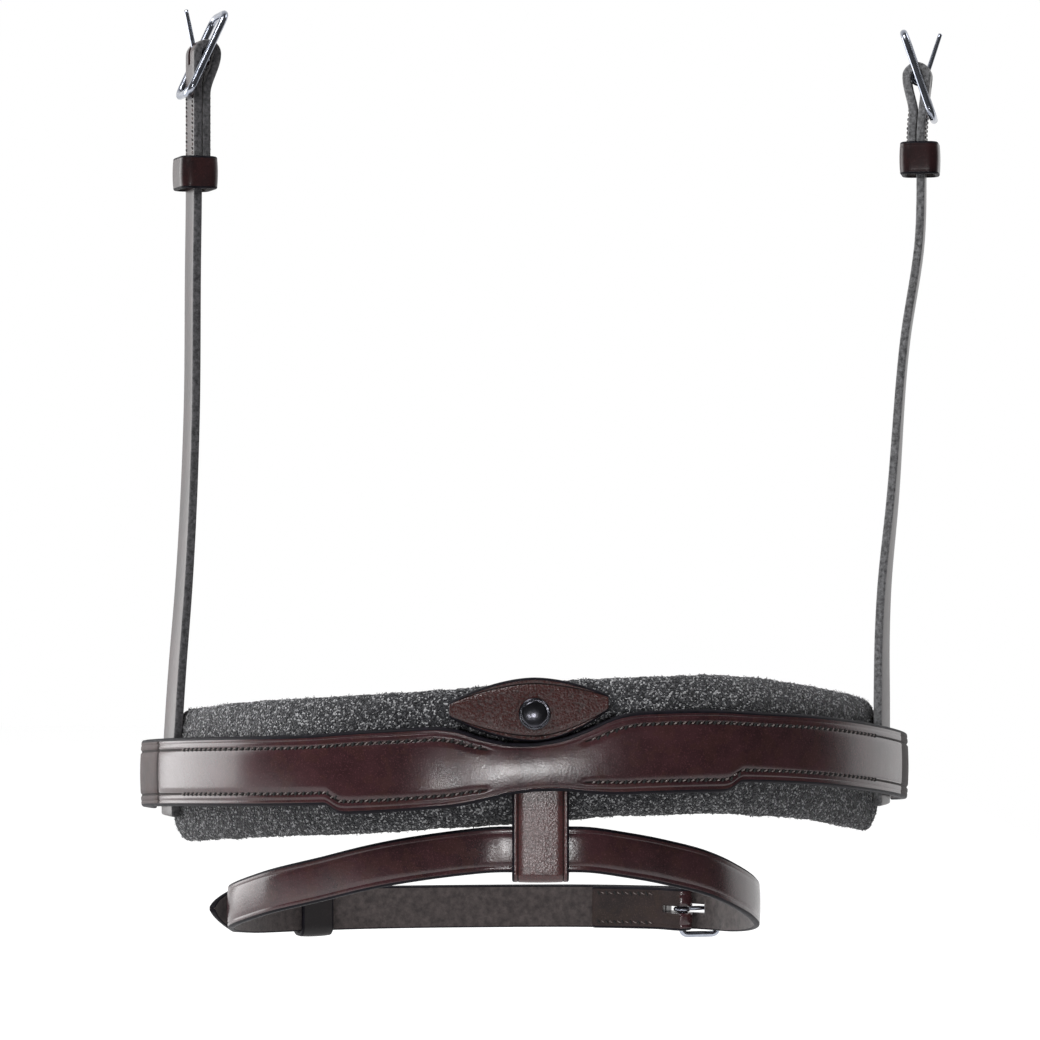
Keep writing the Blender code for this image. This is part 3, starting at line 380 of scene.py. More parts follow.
class Tree:
    """Shorthand for the nodes of a material or of the world."""

    def __init__(self, owner):
        owner.use_nodes = True
        self.owner = owner
        self.tree = owner.node_tree
        self.tree.nodes.clear()

    def add(self, kind, settings=None, **values):
        made = self.tree.nodes.new(kind)
        for key, value in (settings or {}).items():
            setattr(made, key, value)
        for key, value in values.items():
            socket = self.socket(made.inputs, key)
            if isinstance(value, bpy.types.NodeSocket):
                self.tree.links.new(value, socket)
            else:
                socket.default_value = value
        return made

    @staticmethod
    def socket(sockets, key):
        if key[0] == "i" and key[1:].isdigit():
            return sockets[int(key[1:])]
        return sockets[key.replace("_", " ")]

    def out(self, kind, settings=None, **values):
        return self.add(kind, settings, **values).outputs[0]

    def math(self, operation, first, second):
        return self.out("ShaderNodeMath", {"operation": operation}, i0=first, i1=second)

    def weighted(self, first, share, second, other_share):
        return self.math("ADD", self.math("MULTIPLY", first, share),
                         self.math("MULTIPLY", second, other_share))

    def ramp(self, value, stops):
        made = self.add("ShaderNodeValToRGB", i0=value)
        ramp = made.color_ramp
        while len(ramp.elements) < len(stops):
            ramp.elements.new(0.5)
        for element, (place, colour) in zip(ramp.elements, stops):
            element.position = place
            element.color = (*colour, 1)
        return made.outputs[0]

    def mix(self, share, first, second):
        made = self.add("ShaderNodeMix", {"data_type": "RGBA"}, i0=share, i6=first, i7=second)
        return made.outputs[2]

    def spread(self, value, low, high):
        return self.out("ShaderNodeMapRange", i0=value, i1=0.0, i2=1.0, i3=low, i4=high)

    def noise(self, where, scale, detail, roughness=0.55, distortion=0.0):
        return self.out("ShaderNodeTexNoise", Vector=where, Scale=scale, Detail=detail,
                        Roughness=roughness, Distortion=distortion)

    def cells(self, where, scale):
        """Distance to the middle of each cell."""
        return self.out("ShaderNodeTexVoronoi", Vector=where, Scale=scale)

    def bump(self, height, strength, distance, **more):
        return self.out("ShaderNodeBump", Height=height, Strength=strength, Distance=distance,
                        **more)

    def seen(self, *kinds):
        """One for rays of these kinds, zero for others."""
        path = self.add("ShaderNodeLightPath")
        seen = path.outputs[kinds[0]]
        for kind in kinds[1:]:
            seen = self.math("MAXIMUM", seen, path.outputs[kind])
        return seen

    def end(self, kind, shader):
        """Lead a shader to the output; gives back what the tree belongs to."""
        self.add(kind, i0=shader)
        return self.owner

    def surface(self, **values):
        return self.end("ShaderNodeOutputMaterial",
                        self.out("ShaderNodeBsdfPrincipled", **values))


def new_material(name):
    """A material's empty tree, and the place in the object for its textures."""
    tree = Tree(bpy.data.materials.new(name))
    return tree, tree.add("ShaderNodeTexCoord").outputs["Object"]


def grey(value):
    return (value, value, value)


def times(colour, share):
    return tuple(c * share for c in colour)


def smooth_leather(name, dark, light, warm, rough=(0.16, 0.27), shine=0.5, relief=0.11):
    """Full grain leather: dyed in soft patches, with fine pores and faint waves."""
    tree, here = new_material(name)
    cloud = tree.noise(here, scale=62.0, detail=6.0, roughness=0.62)
    patch = tree.noise(here, scale=150.0, detail=5.0, roughness=0.6)
    fine = tree.noise(here, scale=1900.0, detail=5.0, roughness=0.6)
    pores = tree.cells(here, scale=1300.0)
    tone = tree.ramp(cloud, ((0.34, dark), (0.66, light)))
    warm_places = tree.spread(tree.math("GREATER_THAN", patch, 0.54), 0.0, 0.28)
    tone = tree.mix(warm_places, tone, (*warm, 1))
    light_specks = tree.math("MULTIPLY", tree.math("GREATER_THAN", fine, 0.59), 0.40)
    colour = tree.mix(light_specks, tone, (*times(light, 2.1), 1))
    gloss = tree.weighted(tree.noise(here, scale=240.0, detail=3.0), 0.5, fine, 0.5)
    normal = tree.bump(tree.weighted(fine, 0.4, pores, 0.6), relief, distance=0.00020)
    wave = tree.bump(tree.noise(here, scale=120.0, detail=2.0), 0.10, 0.0006, Normal=normal)
    return tree.surface(Base_Color=colour, Roughness=tree.spread(gloss, *rough), Normal=wave,
                        Specular_IOR_Level=shine)


def pebbled_leather(name, dark, light, rough, relief):
    """Leather with a pressed grain of small round pebbles; its colour is painted shade, lighter on
    each pebble's top and darker towards the valleys between them.
    """
    tree, here = new_material(name)
    cloud = tree.noise(here, scale=70.0, detail=4.0)
    drift = tree.add("ShaderNodeTexNoise", Vector=here, Scale=700.0).outputs[1]
    drift = tree.out("ShaderNodeVectorMath", {"operation": "SCALE"}, i0=drift, Scale=0.0004)
    warped = tree.out("ShaderNodeVectorMath", {"operation": "ADD"}, i0=here, i1=drift)
    pebble = tree.cells(warped, scale=1250.0)
    fine = tree.noise(here, scale=2600.0, detail=3.0)
    tone = tree.ramp(cloud, ((0.30, dark), (0.70, light)))
    # Painted shade: lighter colour on each pebble's top, darker towards the valleys
    valley_shade = tree.spread(pebble, -0.1, 1.1)
    colour = tree.mix(valley_shade, (*times(light, 1.9), 1), tone)
    height = tree.math("SUBTRACT", tree.math("MULTIPLY", fine, 0.2), pebble)
    return tree.surface(Base_Color=colour, Roughness=tree.spread(pebble, *rough),
                        Normal=tree.bump(height, relief, distance=0.00045))


def edge_paint(name, colour):
    tree, here = new_material(name)
    cloud = tree.noise(here, scale=320.0, detail=4.0)
    tone = tree.ramp(cloud, ((0.30, times(colour, 0.55)), (0.72, times(colour, 1.7))))
    uneven = tree.noise(here, scale=1400.0, detail=4.0)
    return tree.surface(Base_Color=tone, Roughness=tree.spread(cloud, 0.40, 0.65),
                        Specular_IOR_Level=0.1,
                        Normal=tree.bump(uneven, strength=0.30, distance=0.00025))


def flesh_side(name, dark, light, scale=420.0):
    """The rough back, or a cut edge, of leather."""
    tree, here = new_material(name)
    cloud = tree.noise(here, scale, detail=8.0, roughness=0.68)
    fibres = tree.noise(here, scale=3200.0, detail=3.0)
    tone = tree.ramp(cloud, ((0.36, dark), (0.66, light)))
    height = tree.weighted(cloud, 0.6, fibres, 0.4)
    return tree.surface(Base_Color=tone, Roughness=0.88,
                        Normal=tree.bump(height, strength=0.55, distance=0.0005),
                        Sheen_Weight=0.25, Sheen_Roughness=0.5)


def looped_textile(name):
    """Heathered yarn: every small loop has its own grey."""
    tree, here = new_material(name)
    loops = tree.add("ShaderNodeTexVoronoi", Vector=here, Scale=1950.0)
    cell = tree.out("ShaderNodeSeparateColor", i0=loops.outputs["Color"])
    heather = tree.ramp(cell, ((0.0, (0.008, 0.008, 0.010)), (0.35, (0.022, 0.023, 0.027)),
                               (0.66, (0.066, 0.068, 0.076)), (0.82, (0.18, 0.18, 0.19)),
                               (0.93, (0.64, 0.64, 0.66))))
    cloud = tree.noise(here, scale=90.0, detail=3.0)
    colour = tree.mix(tree.spread(cloud, 0.0, 0.30), heather, (0.02, 0.02, 0.024, 1))
    fuzz = tree.noise(here, scale=3000.0, detail=4.0)
    height = tree.math("SUBTRACT", tree.math("MULTIPLY", fuzz, 0.5), loops.outputs["Distance"])
    return tree.surface(Base_Color=colour, Roughness=0.92, Specular_IOR_Level=0.3,
                        Normal=tree.bump(height, strength=0.9, distance=0.0007),
                        Sheen_Weight=0.30, Sheen_Roughness=0.5)


def thread_material(name, dark, light, rough):
    tree, here = new_material(name)
    twist = tree.noise(here, scale=3000.0, detail=2.0)
    return tree.surface(Base_Color=tree.ramp(twist, ((0.35, dark), (0.65, light))),
                        Roughness=rough,
                        Normal=tree.bump(twist, strength=0.4, distance=0.00015))


def polished_metal(name, dark, light, rough):
    tree, here = new_material(name)
    cloud = tree.noise(here, scale=260.0, detail=5.0)
    scratches = tree.noise(here, scale=1700.0, detail=6.0, roughness=0.7, distortion=1.5)
    return tree.surface(Base_Color=tree.ramp(cloud, ((0.3, dark), (0.7, light))), Metallic=1.0,
                        Roughness=tree.spread(scratches, *rough),
                        Normal=tree.bump(scratches, strength=0.06, distance=0.0001))


# Smooth leather: dark, light and warm tone, range of roughness, shine and relief
BURGUNDY_TONES = ((0.026, 0.009, 0.011), (0.058, 0.021, 0.025), (0.062, 0.025, 0.018))
BURGUNDY = smooth_leather("burgundy_leather", *BURGUNDY_TONES)
# Grey-brown, dull grain side on the band's left end strip, beyond its end crease: painted shade
# where the leather turns away
END_STRIP_SHADE = smooth_leather("end_strip_painted_shade", (0.026, 0.016, 0.016), (0.050, 0.030, 0.030),
                      (0.050, 0.026, 0.020), (0.50, 0.65), 0.3)
GLOSSY = smooth_leather("glossy_burgundy", *BURGUNDY_TONES, (0.17, 0.27), 0.55, 0.12)
# Near black and dull in the pressed lines and in the crease across each end of the band: painted
# shade in the grooves
CREASE_SHADE = smooth_leather("pressed_line_painted_shade", (0.005, 0.002, 0.002), (0.011, 0.004, 0.004),
                        (0.010, 0.004, 0.003), (0.50, 0.70), 0.15)
# Near-black leather: the tab lining's own colour; on the flash keeper it is painted shade, and on
# the band's backing it is partly black lining and partly painted shade under the band's lower edge
DARK_AND_SHADE = smooth_leather("dark_leather", (0.006, 0.005, 0.006), (0.013, 0.010, 0.011),
                      (0.010, 0.008, 0.008), (0.45, 0.62), 0.3)
LOOP_GRAIN = pebbled_leather("pebbled_leather", (0.026, 0.009, 0.010), (0.056, 0.020, 0.020),
                             (0.20, 0.33), 0.11)
# The tab's pebbled leather, darker than the loop's: the extra darkness is painted shade where the
# tab misses the front light
TAB_GRAIN_SHADED = pebbled_leather("tab_leather", (0.014, 0.0035, 0.0035), (0.036, 0.010, 0.009),
                            (0.22, 0.36), 0.45)
# Near black, dull grain side on the band's right end strip: painted shade where that end turns
# away from the light
END_STRIP_DEEP_SHADE = smooth_leather("end_strip_deep_painted_shade", (0.008, 0.004, 0.004), (0.018, 0.008, 0.008),
                         (0.018, 0.008, 0.007), (0.50, 0.66), 0.15)
FOLD = smooth_leather("worn_fold", (0.014, 0.008, 0.008), (0.036, 0.022, 0.020),
                      (0.036, 0.022, 0.014), (0.50, 0.70), 0.3, 0.4)
DEEP = smooth_leather("deep_burgundy", (0.010, 0.005, 0.006), (0.030, 0.011, 0.012),
                      (0.034, 0.010, 0.010), (0.24, 0.38), 0.4)
# Near-black edge paint, darker partly as painted shade along the band's lower edge
EDGE = edge_paint("edge_paint_and_shade", (0.006, 0.005, 0.008))
# The hangers' cut edges: one edge in two colours, darker on the left as painted shade and lighter
# on the right as painted light
CUT_EDGES_SHADED_AND_LIT = {
    "left": flesh_side("cut_edge_painted_shade", (0.014, 0.014, 0.016), (0.11, 0.107, 0.114), 800.0),
    "right": flesh_side("cut_edge_painted_light", (0.05, 0.05, 0.052), (0.27, 0.27, 0.28), 800.0),
}
# The flesh side's colour, made somewhat darker as painted shade on the straps' inner sides
FLESH_AND_SHADE = flesh_side("flesh_side", (0.030, 0.023, 0.023), (0.088, 0.070, 0.068))
TEXTILE = looped_textile("looped_textile")
FIBRE = thread_material("textile_fibre", (0.020, 0.020, 0.024), (0.16, 0.16, 0.17), 0.8)
# Thread coloured lighter than its dark waxed colour: painted glints from the front light
THREAD_WITH_GLINT = thread_material("sewing_thread_painted_glint", (0.060, 0.042, 0.040), (0.24, 0.20, 0.19), 0.22)
# Near-black ticks beside the stitches: painted shade of the stitch holes
HOLE_SHADE = thread_material("stitch_hole_painted_shade", (0.001, 0.001, 0.001), (0.005, 0.004, 0.004), 0.7)
STEEL = polished_metal("polished_steel", (0.24, 0.26, 0.31), (0.42, 0.44, 0.50), (0.14, 0.28))
GUNMETAL = polished_metal("gunmetal", (0.035, 0.035, 0.042), (0.085, 0.085, 0.097), (0.15, 0.27))


def strap_finish(cover, *more):
    """Materials in the order of the slots that strap_mesh gives to its faces."""
    return [cover, EDGE, FLESH_AND_SHADE, CREASE_SHADE, *more]


# Mesh helpers

ARC_STEPS = 4
STITCH_PITCH = 0.0030
STITCH_SHARE = 0.42
STITCH_SLANT = 0.5
HOLE_TICK = 0.0015
HOLE_SLANT = math.radians(58)


def linked(name, data):
    made = bpy.data.objects.new(name, data)
    bpy.context.scene.collection.objects.link(made)
    return made


def add_piece(mesh, materials, body, slot, *replaced):
    """A piece named after its mesh, and the CAD nodes that it replaces."""
    for made in materials:
        mesh.materials.append(made)
    mesh.polygons.foreach_set("use_smooth", [True] * len(mesh.polygons))
    obj = linked(mesh.name, mesh)
    if replaced:
        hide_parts(*replaced)
    if body:
        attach(obj, body)
    return obj


def mesh_of(name, verts, faces, kinds=None):
    mesh = bpy.data.meshes.new(name)
    mesh.from_pydata([tuple(v) for v in verts], [], faces)
    if kinds is not None:
        mesh.polygons.foreach_set("material_index", kinds)
    shape = bmesh.new()
    shape.from_mesh(mesh)
    bmesh.ops.recalc_face_normals(shape, faces=shape.faces)
    shape.to_mesh(mesh)
    shape.free()
    return mesh


def faces_between(a, b, count):
    """Faces between two rings of points that start at a and b."""
    return [(a + k, a + (k + 1) % count, b + (k + 1) % count, b + k) for k in range(count)]


def circle(radius, sides):
    turns = [2 * math.pi * k / sides for k in range(sides)]
    return [(radius * math.cos(turn), radius * math.sin(turn)) for turn in turns]


class Mark:
    """A line pressed into the grain side, at a distance from each long edge.

    Its share of the depth is a number, or a function of the place and the strap's length.
    """

    def __init__(self, distance, depth, width, share=1.0):
        self.distance, self.depth, self.width, self.share = distance, depth, width, share

    def share_at(self, along, total):
        return self.share(along, total) if callable(self.share) else self.share


def strap_mesh(name, lows, highs, thickness, grain=1, marks=(), crown=0.0, edge=0.0009,
               closed=False, end_marks=(), spread=None, nominal=None, cap=0.0008,
               cuffs=((0.0, 0), (0.0, 0))):
    """Closed leather strap between two rails, with rounded edges and pressed lines.

    The grain side is the side of the rails' tangent crossed with their span, or the
    other one where grain is -1. Faces get slot 0 on the grain side, 1 on the edges,
    2 on the flesh side and 3 in the pressed lines. Cuffs give the length and the slot of
    the grain side's first and last stretch. End marks are lines across the strap, each a
    distance from its first end, a depth and a width.
    """
    lows = np.array([tuple(p) for p in lows])
    highs = np.array([tuple(p) for p in highs])
    spread = np.ones(len(lows)) if spread is None else np.array(spread)
    inset = np.zeros(len(lows))
    if not closed:
        lows, highs, spread, inset = with_round_ends(lows, highs, spread, cap)
    middles = (lows + highs) / 2
    spans = highs - lows
    widths = np.linalg.norm(spans, axis=1)
    across = spans / widths[:, None]
    if closed:
        tangents = np.roll(middles, -1, axis=0) - np.roll(middles, 1, axis=0)
    else:
        tangents = np.gradient(middles, axis=0)
    normals = grain * np.cross(tangents, across)
    normals /= np.linalg.norm(normals, axis=1)[:, None]
    lengths = np.concatenate(([0], np.cumsum(np.linalg.norm(np.diff(middles, axis=0), axis=1))))
    full = nominal if nominal is not None else float(np.max(widths)) / 2
    steps = face_steps(marks, full, edge)
    verts = []
    for i in range(len(middles)):
        half = max(widths[i] / 2 - inset[i], 0.0002)
        points = section(half, thickness / 2, inset[i], steps, marks, crown, edge,
                         min(half / full, 1.0), spread[i], lengths[i], lengths[-1], end_marks)
        verts += [middles[i] + across[i] * up + normals[i] * out for up, out in points]
    count = len(points)
    faces, kinds = [], []
    rows = len(middles)
    for i in range(rows if closed else rows - 1):
        j = (i + 1) % rows
        kinds += section_kinds(steps, marks, (lengths[i] + lengths[j]) / 2, lengths[-1],
                               end_marks, cuffs)
        faces += faces_between(i * count, j * count, count)
    if not closed:
        faces.append(tuple(range(count)))
        faces.append(tuple(range((rows - 1) * count, rows * count))[::-1])
        kinds += [1, 1]
    return mesh_of(name, verts, faces, kinds)


def with_round_ends(lows, highs, spread, cap):
    """Rails with rows added at both ends, and how far each row is drawn in to round them."""
    def near_end(a, b, sa, sb):
        length = np.linalg.norm((b - a).mean(axis=0))
        rows, scales, insets = [], [], []
        for turn in (0.0, 0.25, 0.5, 0.75):
            x = cap * (1 - math.cos(turn * math.pi / 2)) if turn else 0.0
            x = min(x, 0.9 * length)
            rows.append(a + (b - a) * x / length)
            scales.append(sa + (sb - sa) * x / length)
            insets.append(cap * (1 - math.sin(turn * math.pi / 2)))
        return rows, scales, insets
    rails = np.stack((lows, highs), axis=1)
    first, first_s, first_i = near_end(rails[0], rails[1], spread[0], spread[1])
    last, last_s, last_i = near_end(rails[-1], rails[-2], spread[-1], spread[-2])
    rails = np.concatenate((first, rails[1:-1], last[::-1]))
    spread = np.concatenate((first_s, spread[1:-1], last_s[::-1]))
    inset = np.concatenate((first_i, np.zeros(len(spread) - 8), last_i[::-1]))
    return rails[:, 0], rails[:, 1], spread, inset


def face_steps(marks, half, edge):
    """Distances from the edge at which the grain side has points, up to its middle."""
    steps = [edge]
    for mark in marks:
        for share in (-1, -0.5, 0, 0.5, 1):
            steps.append(mark.distance + share * mark.width)
    last = max(steps)
    steps += list(np.linspace(last, half, 5)[1:])
    return sorted(steps)


def section_kinds(steps, marks, along, total, end_marks, cuffs):
    """Material slot of each face round the section, in the order of its points."""
    plain = 0
    for gap, (length, kind) in zip((along, total - along), cuffs):
        if gap < length:
            plain = kind
    ended = any(abs(along - distance) < width / 2 for distance, _, width in end_marks)
    grain = []
    for near, far in zip(steps, steps[1:]):
        pressed = any(abs((near + far) / 2 - mark.distance) < mark.width / 2
                      and mark.share_at(along, total) > 0.5
                      for mark in marks)
        grain.append(3 if pressed or ended else plain)
    rim = [1] * (2 * ARC_STEPS + 1)
    return grain + grain[::-1] + rim + [2] * 3 + rim


def section(half, deep, inset, steps, marks, crown, edge, size, spread, along, total, end_marks):
    """Points round one cross section, from the low edge over the grain side and back."""
    edge = min(edge * min(spread, 1.6), deep * 0.95, half * 0.8)
    under = min(0.6 * edge, deep * 0.95)
    deep = max(deep - inset, 0.0001)
    crown = min(crown, 0.4 * deep)
    edge = min(edge, deep)
    under = min(under, 0.8 * deep)
    places = [min(step * size * spread, half) for step in steps]
    places[0] = edge
    places = list(np.maximum.accumulate(places))
    places[-1] = half
    pressed = 0.0
    for distance, depth, width in end_marks:
        pressed += depth * math.exp(-((along - distance) / width) ** 2)
    heights = []
    for place, step in zip(places, steps):
        height = -crown * (1 - place / half) ** 2
        for mark in marks:
            near = abs(step - mark.distance) / mark.width
            if near < 1:
                depth = mark.share_at(along, total) * mark.depth
                height -= depth * 0.5 * (1 + math.cos(math.pi * near))
        heights.append(deep + height - pressed * min(place / (2 * edge), 1.0))
    ups = [-half + place for place in places] + [half - place for place in places[-2::-1]]
    outs = heights + heights[-2::-1]
    turns = np.linspace(math.pi / 2, 0, ARC_STEPS + 1)
    top = deep - crown * (1 - edge / half) ** 2
    above = [(half - edge + edge * math.cos(turn), top - edge + edge * math.sin(turn))
             for turn in turns[1:]]
    below = [(half - under + under * math.cos(turn), -deep + under - under * math.sin(turn))
             for turn in turns]
    return (list(zip(ups, outs)) + above + below[::-1] + [(0.4 * half, -deep)]
            + [(-up, out) for up, out in [(0.4 * half, -deep)] + below + above[::-1]])


def rails(course, rows):
    lows = [course.place(along, out, low) for along, out, low, high in rows]
    highs = [course.place(along, out, high) for along, out, low, high in rows]
    return lows, highs


def tube(points, radius, cyclic=False, sides=14, taper=0.0):
    """Verts and faces of a round wire; taper is the share its far end gets thinner."""
    points = np.array([tuple(p) for p in points], dtype=float)
    if cyclic:
        tangents = np.roll(points, -1, axis=0) - np.roll(points, 1, axis=0)
    else:
        tangents = np.gradient(points, axis=0)
    tangents /= np.linalg.norm(tangents, axis=1)[:, None]
    side = np.cross(tangents[0], (0.31, 0.47, 0.82))
    side /= np.linalg.norm(side)
    verts, faces = [], []
    count = len(points)
    for i in range(count):
        side = side - tangents[i] * np.dot(side, tangents[i])
        side /= np.linalg.norm(side)
        other = np.cross(tangents[i], side)
        size = radius * (1 - taper * (i / (count - 1)) ** 3)
        verts += [points[i] + size * (x * side + y * other) for x, y in circle(1, sides)]
    for i in range(count if cyclic else count - 1):
        faces += faces_between(i * sides, (i + 1) % count * sides, sides)
    if not cyclic:
        for row, ring, way in ((0, points[0], -1), (count - 1, points[-1], 1)):
            centre = len(verts)
            verts.append(ring + way * tangents[row] * radius * 0.35)
            for k in range(sides):
                m = (k + 1) % sides
                faces.append((row * sides + k, row * sides + m, centre))
    return verts, faces


def join_parts(parts):
    verts, faces = [], []
    for some_verts, some_faces in parts:
        start = len(verts)
        verts += list(some_verts)
        faces += [tuple(start + i for i in face) for face in some_faces]
    return verts, faces


def cut_with(obj, cutters):
    """Cut closed meshes out of a piece and leave it a plain mesh."""
    holders = []
    for verts, faces in cutters:
        holders.append(linked("cutter", mesh_of("cutter", verts, faces)))
        made = obj.modifiers.new("Cut", "BOOLEAN")
        made.operation = "DIFFERENCE"
        made.solver = "MANIFOLD"
        made.object = holders[-1]
    graph = bpy.context.evaluated_depsgraph_get()
    mesh = bpy.data.meshes.new_from_object(obj.evaluated_get(graph))
    old = obj.data
    obj.modifiers.clear()
    obj.data = mesh
    bpy.data.meshes.remove(old)
    for holder in holders:
        bpy.data.objects.remove(holder, do_unlink=True)


def block(frame, size):
    """Verts and faces of a box in a frame."""
    verts = [frame @ Vector((x * size[0] / 2, y * size[1] / 2, z * size[2] / 2))
             for x in (-1, 1) for y in (-1, 1) for z in (-1, 1)]
    faces = [(0, 1, 3, 2), (4, 6, 7, 5), (0, 4, 5, 1), (2, 3, 7, 6), (0, 2, 6, 4), (1, 5, 7, 3)]
    return verts, faces


def drum(frame, radius, depth):
    """Verts and faces of a cylinder along a frame's Z."""
    sides = 32
    verts = [frame @ Vector((x, y, z)) for z in (-depth / 2, depth / 2)
             for x, y in circle(radius, sides)]
    faces = faces_between(0, sides, sides)
    faces.append(tuple(range(sides))[::-1])
    faces.append(tuple(range(sides, 2 * sides)))
    return verts, faces


def stitch(where, length, radius, slant, sink):
    """One sewn thread, dipping into the leather at both ends."""
    centre, along, across, out = where
    way = (along * math.cos(slant) + across * math.sin(slant)).normalized()
    points = []
    for share in (-1.0, -0.8, -0.4, 0.0, 0.4, 0.8, 1.0):
        lift = 0.45 * radius - 1.7 * radius * share ** 4 - sink
        points.append(centre + way * (share * length / 2) + out * lift)
    return tube(points, radius, sides=7)


def stitch_rows(name, place_at, starts, body, radius=0.00028, sink=0.0):
    """Stitches at frames (centre, along, across, out), each with a near-black tick beside it:
    painted shade of the hole that it dips into.
    """
    threads, holes = [], []
    for start in starts:
        centre, along, *rest = place_at(start)
        threads.append(stitch((centre, along, *rest), STITCH_SHARE * STITCH_PITCH, radius,
                              STITCH_SLANT, sink))
        holes.append(stitch((centre + along * (STITCH_PITCH / 2), along, *rest), HOLE_TICK,
                            radius * 1.5, HOLE_SLANT, 0.5 * radius + sink))
    for end, parts, made in (("_threads", threads, THREAD_WITH_GLINT), ("_holes", holes, HOLE_SHADE)):
        add_piece(mesh_of(name + end, *join_parts(parts)), [made], body, "leather")


# Nose band

WAIST_PLAIN = 0.0165
STITCH_END = 0.144
STITCH_INSET = 0.0043
BAND_MARKS_DEPTH = 0.00034
BAND_FINE_ENDS = 0.0450
CUFF_LENGTH = 0.0400
END_CAP_LENGTH = 0.0310
BAND_STITCH_SINK = 0.0001


def waist_share(along, total):
    """The seam's line starts beside the waist and is deeper past the stitches."""
    away = abs(along - total / 2)
    return ease((away - WAIST_PLAIN + 0.002) / 0.003) * (1 if away < STITCH_END else 1.5)


def make_band():
    ends = np.linspace(BAND_HALF_LENGTH - BAND_FINE_ENDS, BAND_HALF_LENGTH, 64)
    inner = np.linspace(-ends[0], ends[0], 300)
    places = np.concatenate((-ends[::-1], inner[1:-1], ends))
    rows = [(along, BAND_THICKNESS / 2, *band_edges(along)) for along in places]
    marks = (Mark(0.0021, BAND_MARKS_DEPTH, 0.00040, 0.45),
             Mark(STITCH_INSET, BAND_MARKS_DEPTH, 0.0008, waist_share))
    mesh = strap_mesh("nose_band_leather", *rails(RING, rows), BAND_THICKNESS, marks=marks,
                      crown=0.0006, edge=0.0011, nominal=BAND_HALF_HEIGHT,
                      end_marks=((CUFF_LENGTH, 0.0005, 0.0018),),
                      cuffs=((CUFF_LENGTH, 4), (END_CAP_LENGTH, 5)))
    # Slots 4 and 5 give the band's left and right end strips their painted shade
    add_piece(mesh, strap_finish(BURGUNDY, END_STRIP_SHADE, END_STRIP_DEEP_SHADE), "noseband", "leather", "nose_band")

    def place_at(start):
        along, top = start
        low, high = band_edges(along)
        size = min((high - low) / 2 / BAND_HALF_HEIGHT, 1)
        up = high - STITCH_INSET * size if top else low + STITCH_INSET * size
        centre = RING.place(along, BAND_THICKNESS - BAND_STITCH_SINK - BAND_MARKS_DEPTH, up)
        return centre, RING.heading(along), RING.across(), RING.outward(along)

    starts = []
    for sign in (-1, 1):
        for away in np.arange(WAIST_PLAIN + 0.003, STITCH_END, STITCH_PITCH):
            starts += [(sign * away, True), (sign * away, False)]
    stitch_rows("nose_band", place_at, starts, "noseband")


# Pad

PAD_SECTION_SHARES = (
    (0.00, -0.72), (0.00, 0.00), (0.00, 0.72), (0.38, 1.03), (0.80, 0.92),
    (1.00, 0.50), (1.00, 0.00), (1.00, -0.50), (0.80, -0.92), (0.38, -1.03),
)
PAD_ROUND_STEPS = 116
PAD_STATIONS = 430
PAD_END_POWER = 2.6
PAD_END_CROWDING = 0.25
PAD_SKIN = 0.0004
# Height and frequency of the cushion's soft swells
PAD_SWELLS = ((0.00045, 60), (0.0003, 170))
PAD_YARN_HEIGHTS = (-0.00012, 0.00045)
FIBRE_COUNT = 5200
FIBRE_RADIUS = 0.00007
FIBRE_HALF_SPAN = 0.00026
FIBRE_HEIGHT = 0.00045


def closed_spline(points, steps):
    """Uniform cubic B-spline through the neighbourhood of a closed ring of points."""
    points = np.array(points)
    count = len(points)
    result = []
    for k in range(steps):
        place = k * count / steps
        i = int(place)
        t = place - i
        weights = ((1 - t) ** 3 / 6, (3 * t ** 3 - 6 * t ** 2 + 4) / 6,
                   (-3 * t ** 3 + 3 * t ** 2 + 3 * t + 1) / 6, t ** 3 / 6)
        result.append(sum(w * points[(i + n - 1) % count] for n, w in enumerate(weights)))
    return np.array(result)


def pad_surface():
    """Points of the pad's skin, rows along it and columns round it, with their normals."""
    shares = closed_spline(PAD_SECTION_SHARES, PAD_ROUND_STEPS)
    places = PAD_HALF_LENGTH * np.sin(np.linspace(-1, 1, PAD_STATIONS) * math.pi / 2 * 0.94)
    places = (PAD_END_CROWDING * places / abs(places[0]) * PAD_HALF_LENGTH
              + (1 - PAD_END_CROWDING) * np.linspace(-PAD_HALF_LENGTH, PAD_HALF_LENGTH,
                                                     PAD_STATIONS))
    points = np.zeros((PAD_STATIONS, PAD_ROUND_STEPS, 3))
    for i, along in enumerate(places):
        to_end = min((PAD_HALF_LENGTH - abs(along)) / PAD_END_ROUND, 1)
        size = max((1 - (1 - to_end) ** PAD_END_POWER) ** (1 / PAD_END_POWER), 0.02)
        middle = np.array(PAD_RING.middle(along))
        outward = np.array(PAD_RING.outward(along))
        depth = 0.5 + (shares[:, 0] - 0.5) * size
        out = -TUNNEL_DEPTH - PAD_THICKNESS * depth
        up = PAD_RISE + PAD_HALF_HEIGHT * shares[:, 1] * size
        points[i] = middle + out[:, None] * outward + up[:, None] * np.array((0, 0, 1))
    along_way = np.gradient(points, axis=0)
    round_way = (np.roll(points, -1, axis=1) - np.roll(points, 1, axis=1)) / 2
    normals = np.cross(along_way, round_way)
    lengths = np.linalg.norm(normals, axis=2)
    lengths[lengths == 0] = 1
    normals /= lengths[:, :, None]
    centres = points.mean(axis=1, keepdims=True)
    if np.sum((points - centres) * normals) < 0:
        normals = -normals
    return points, normals


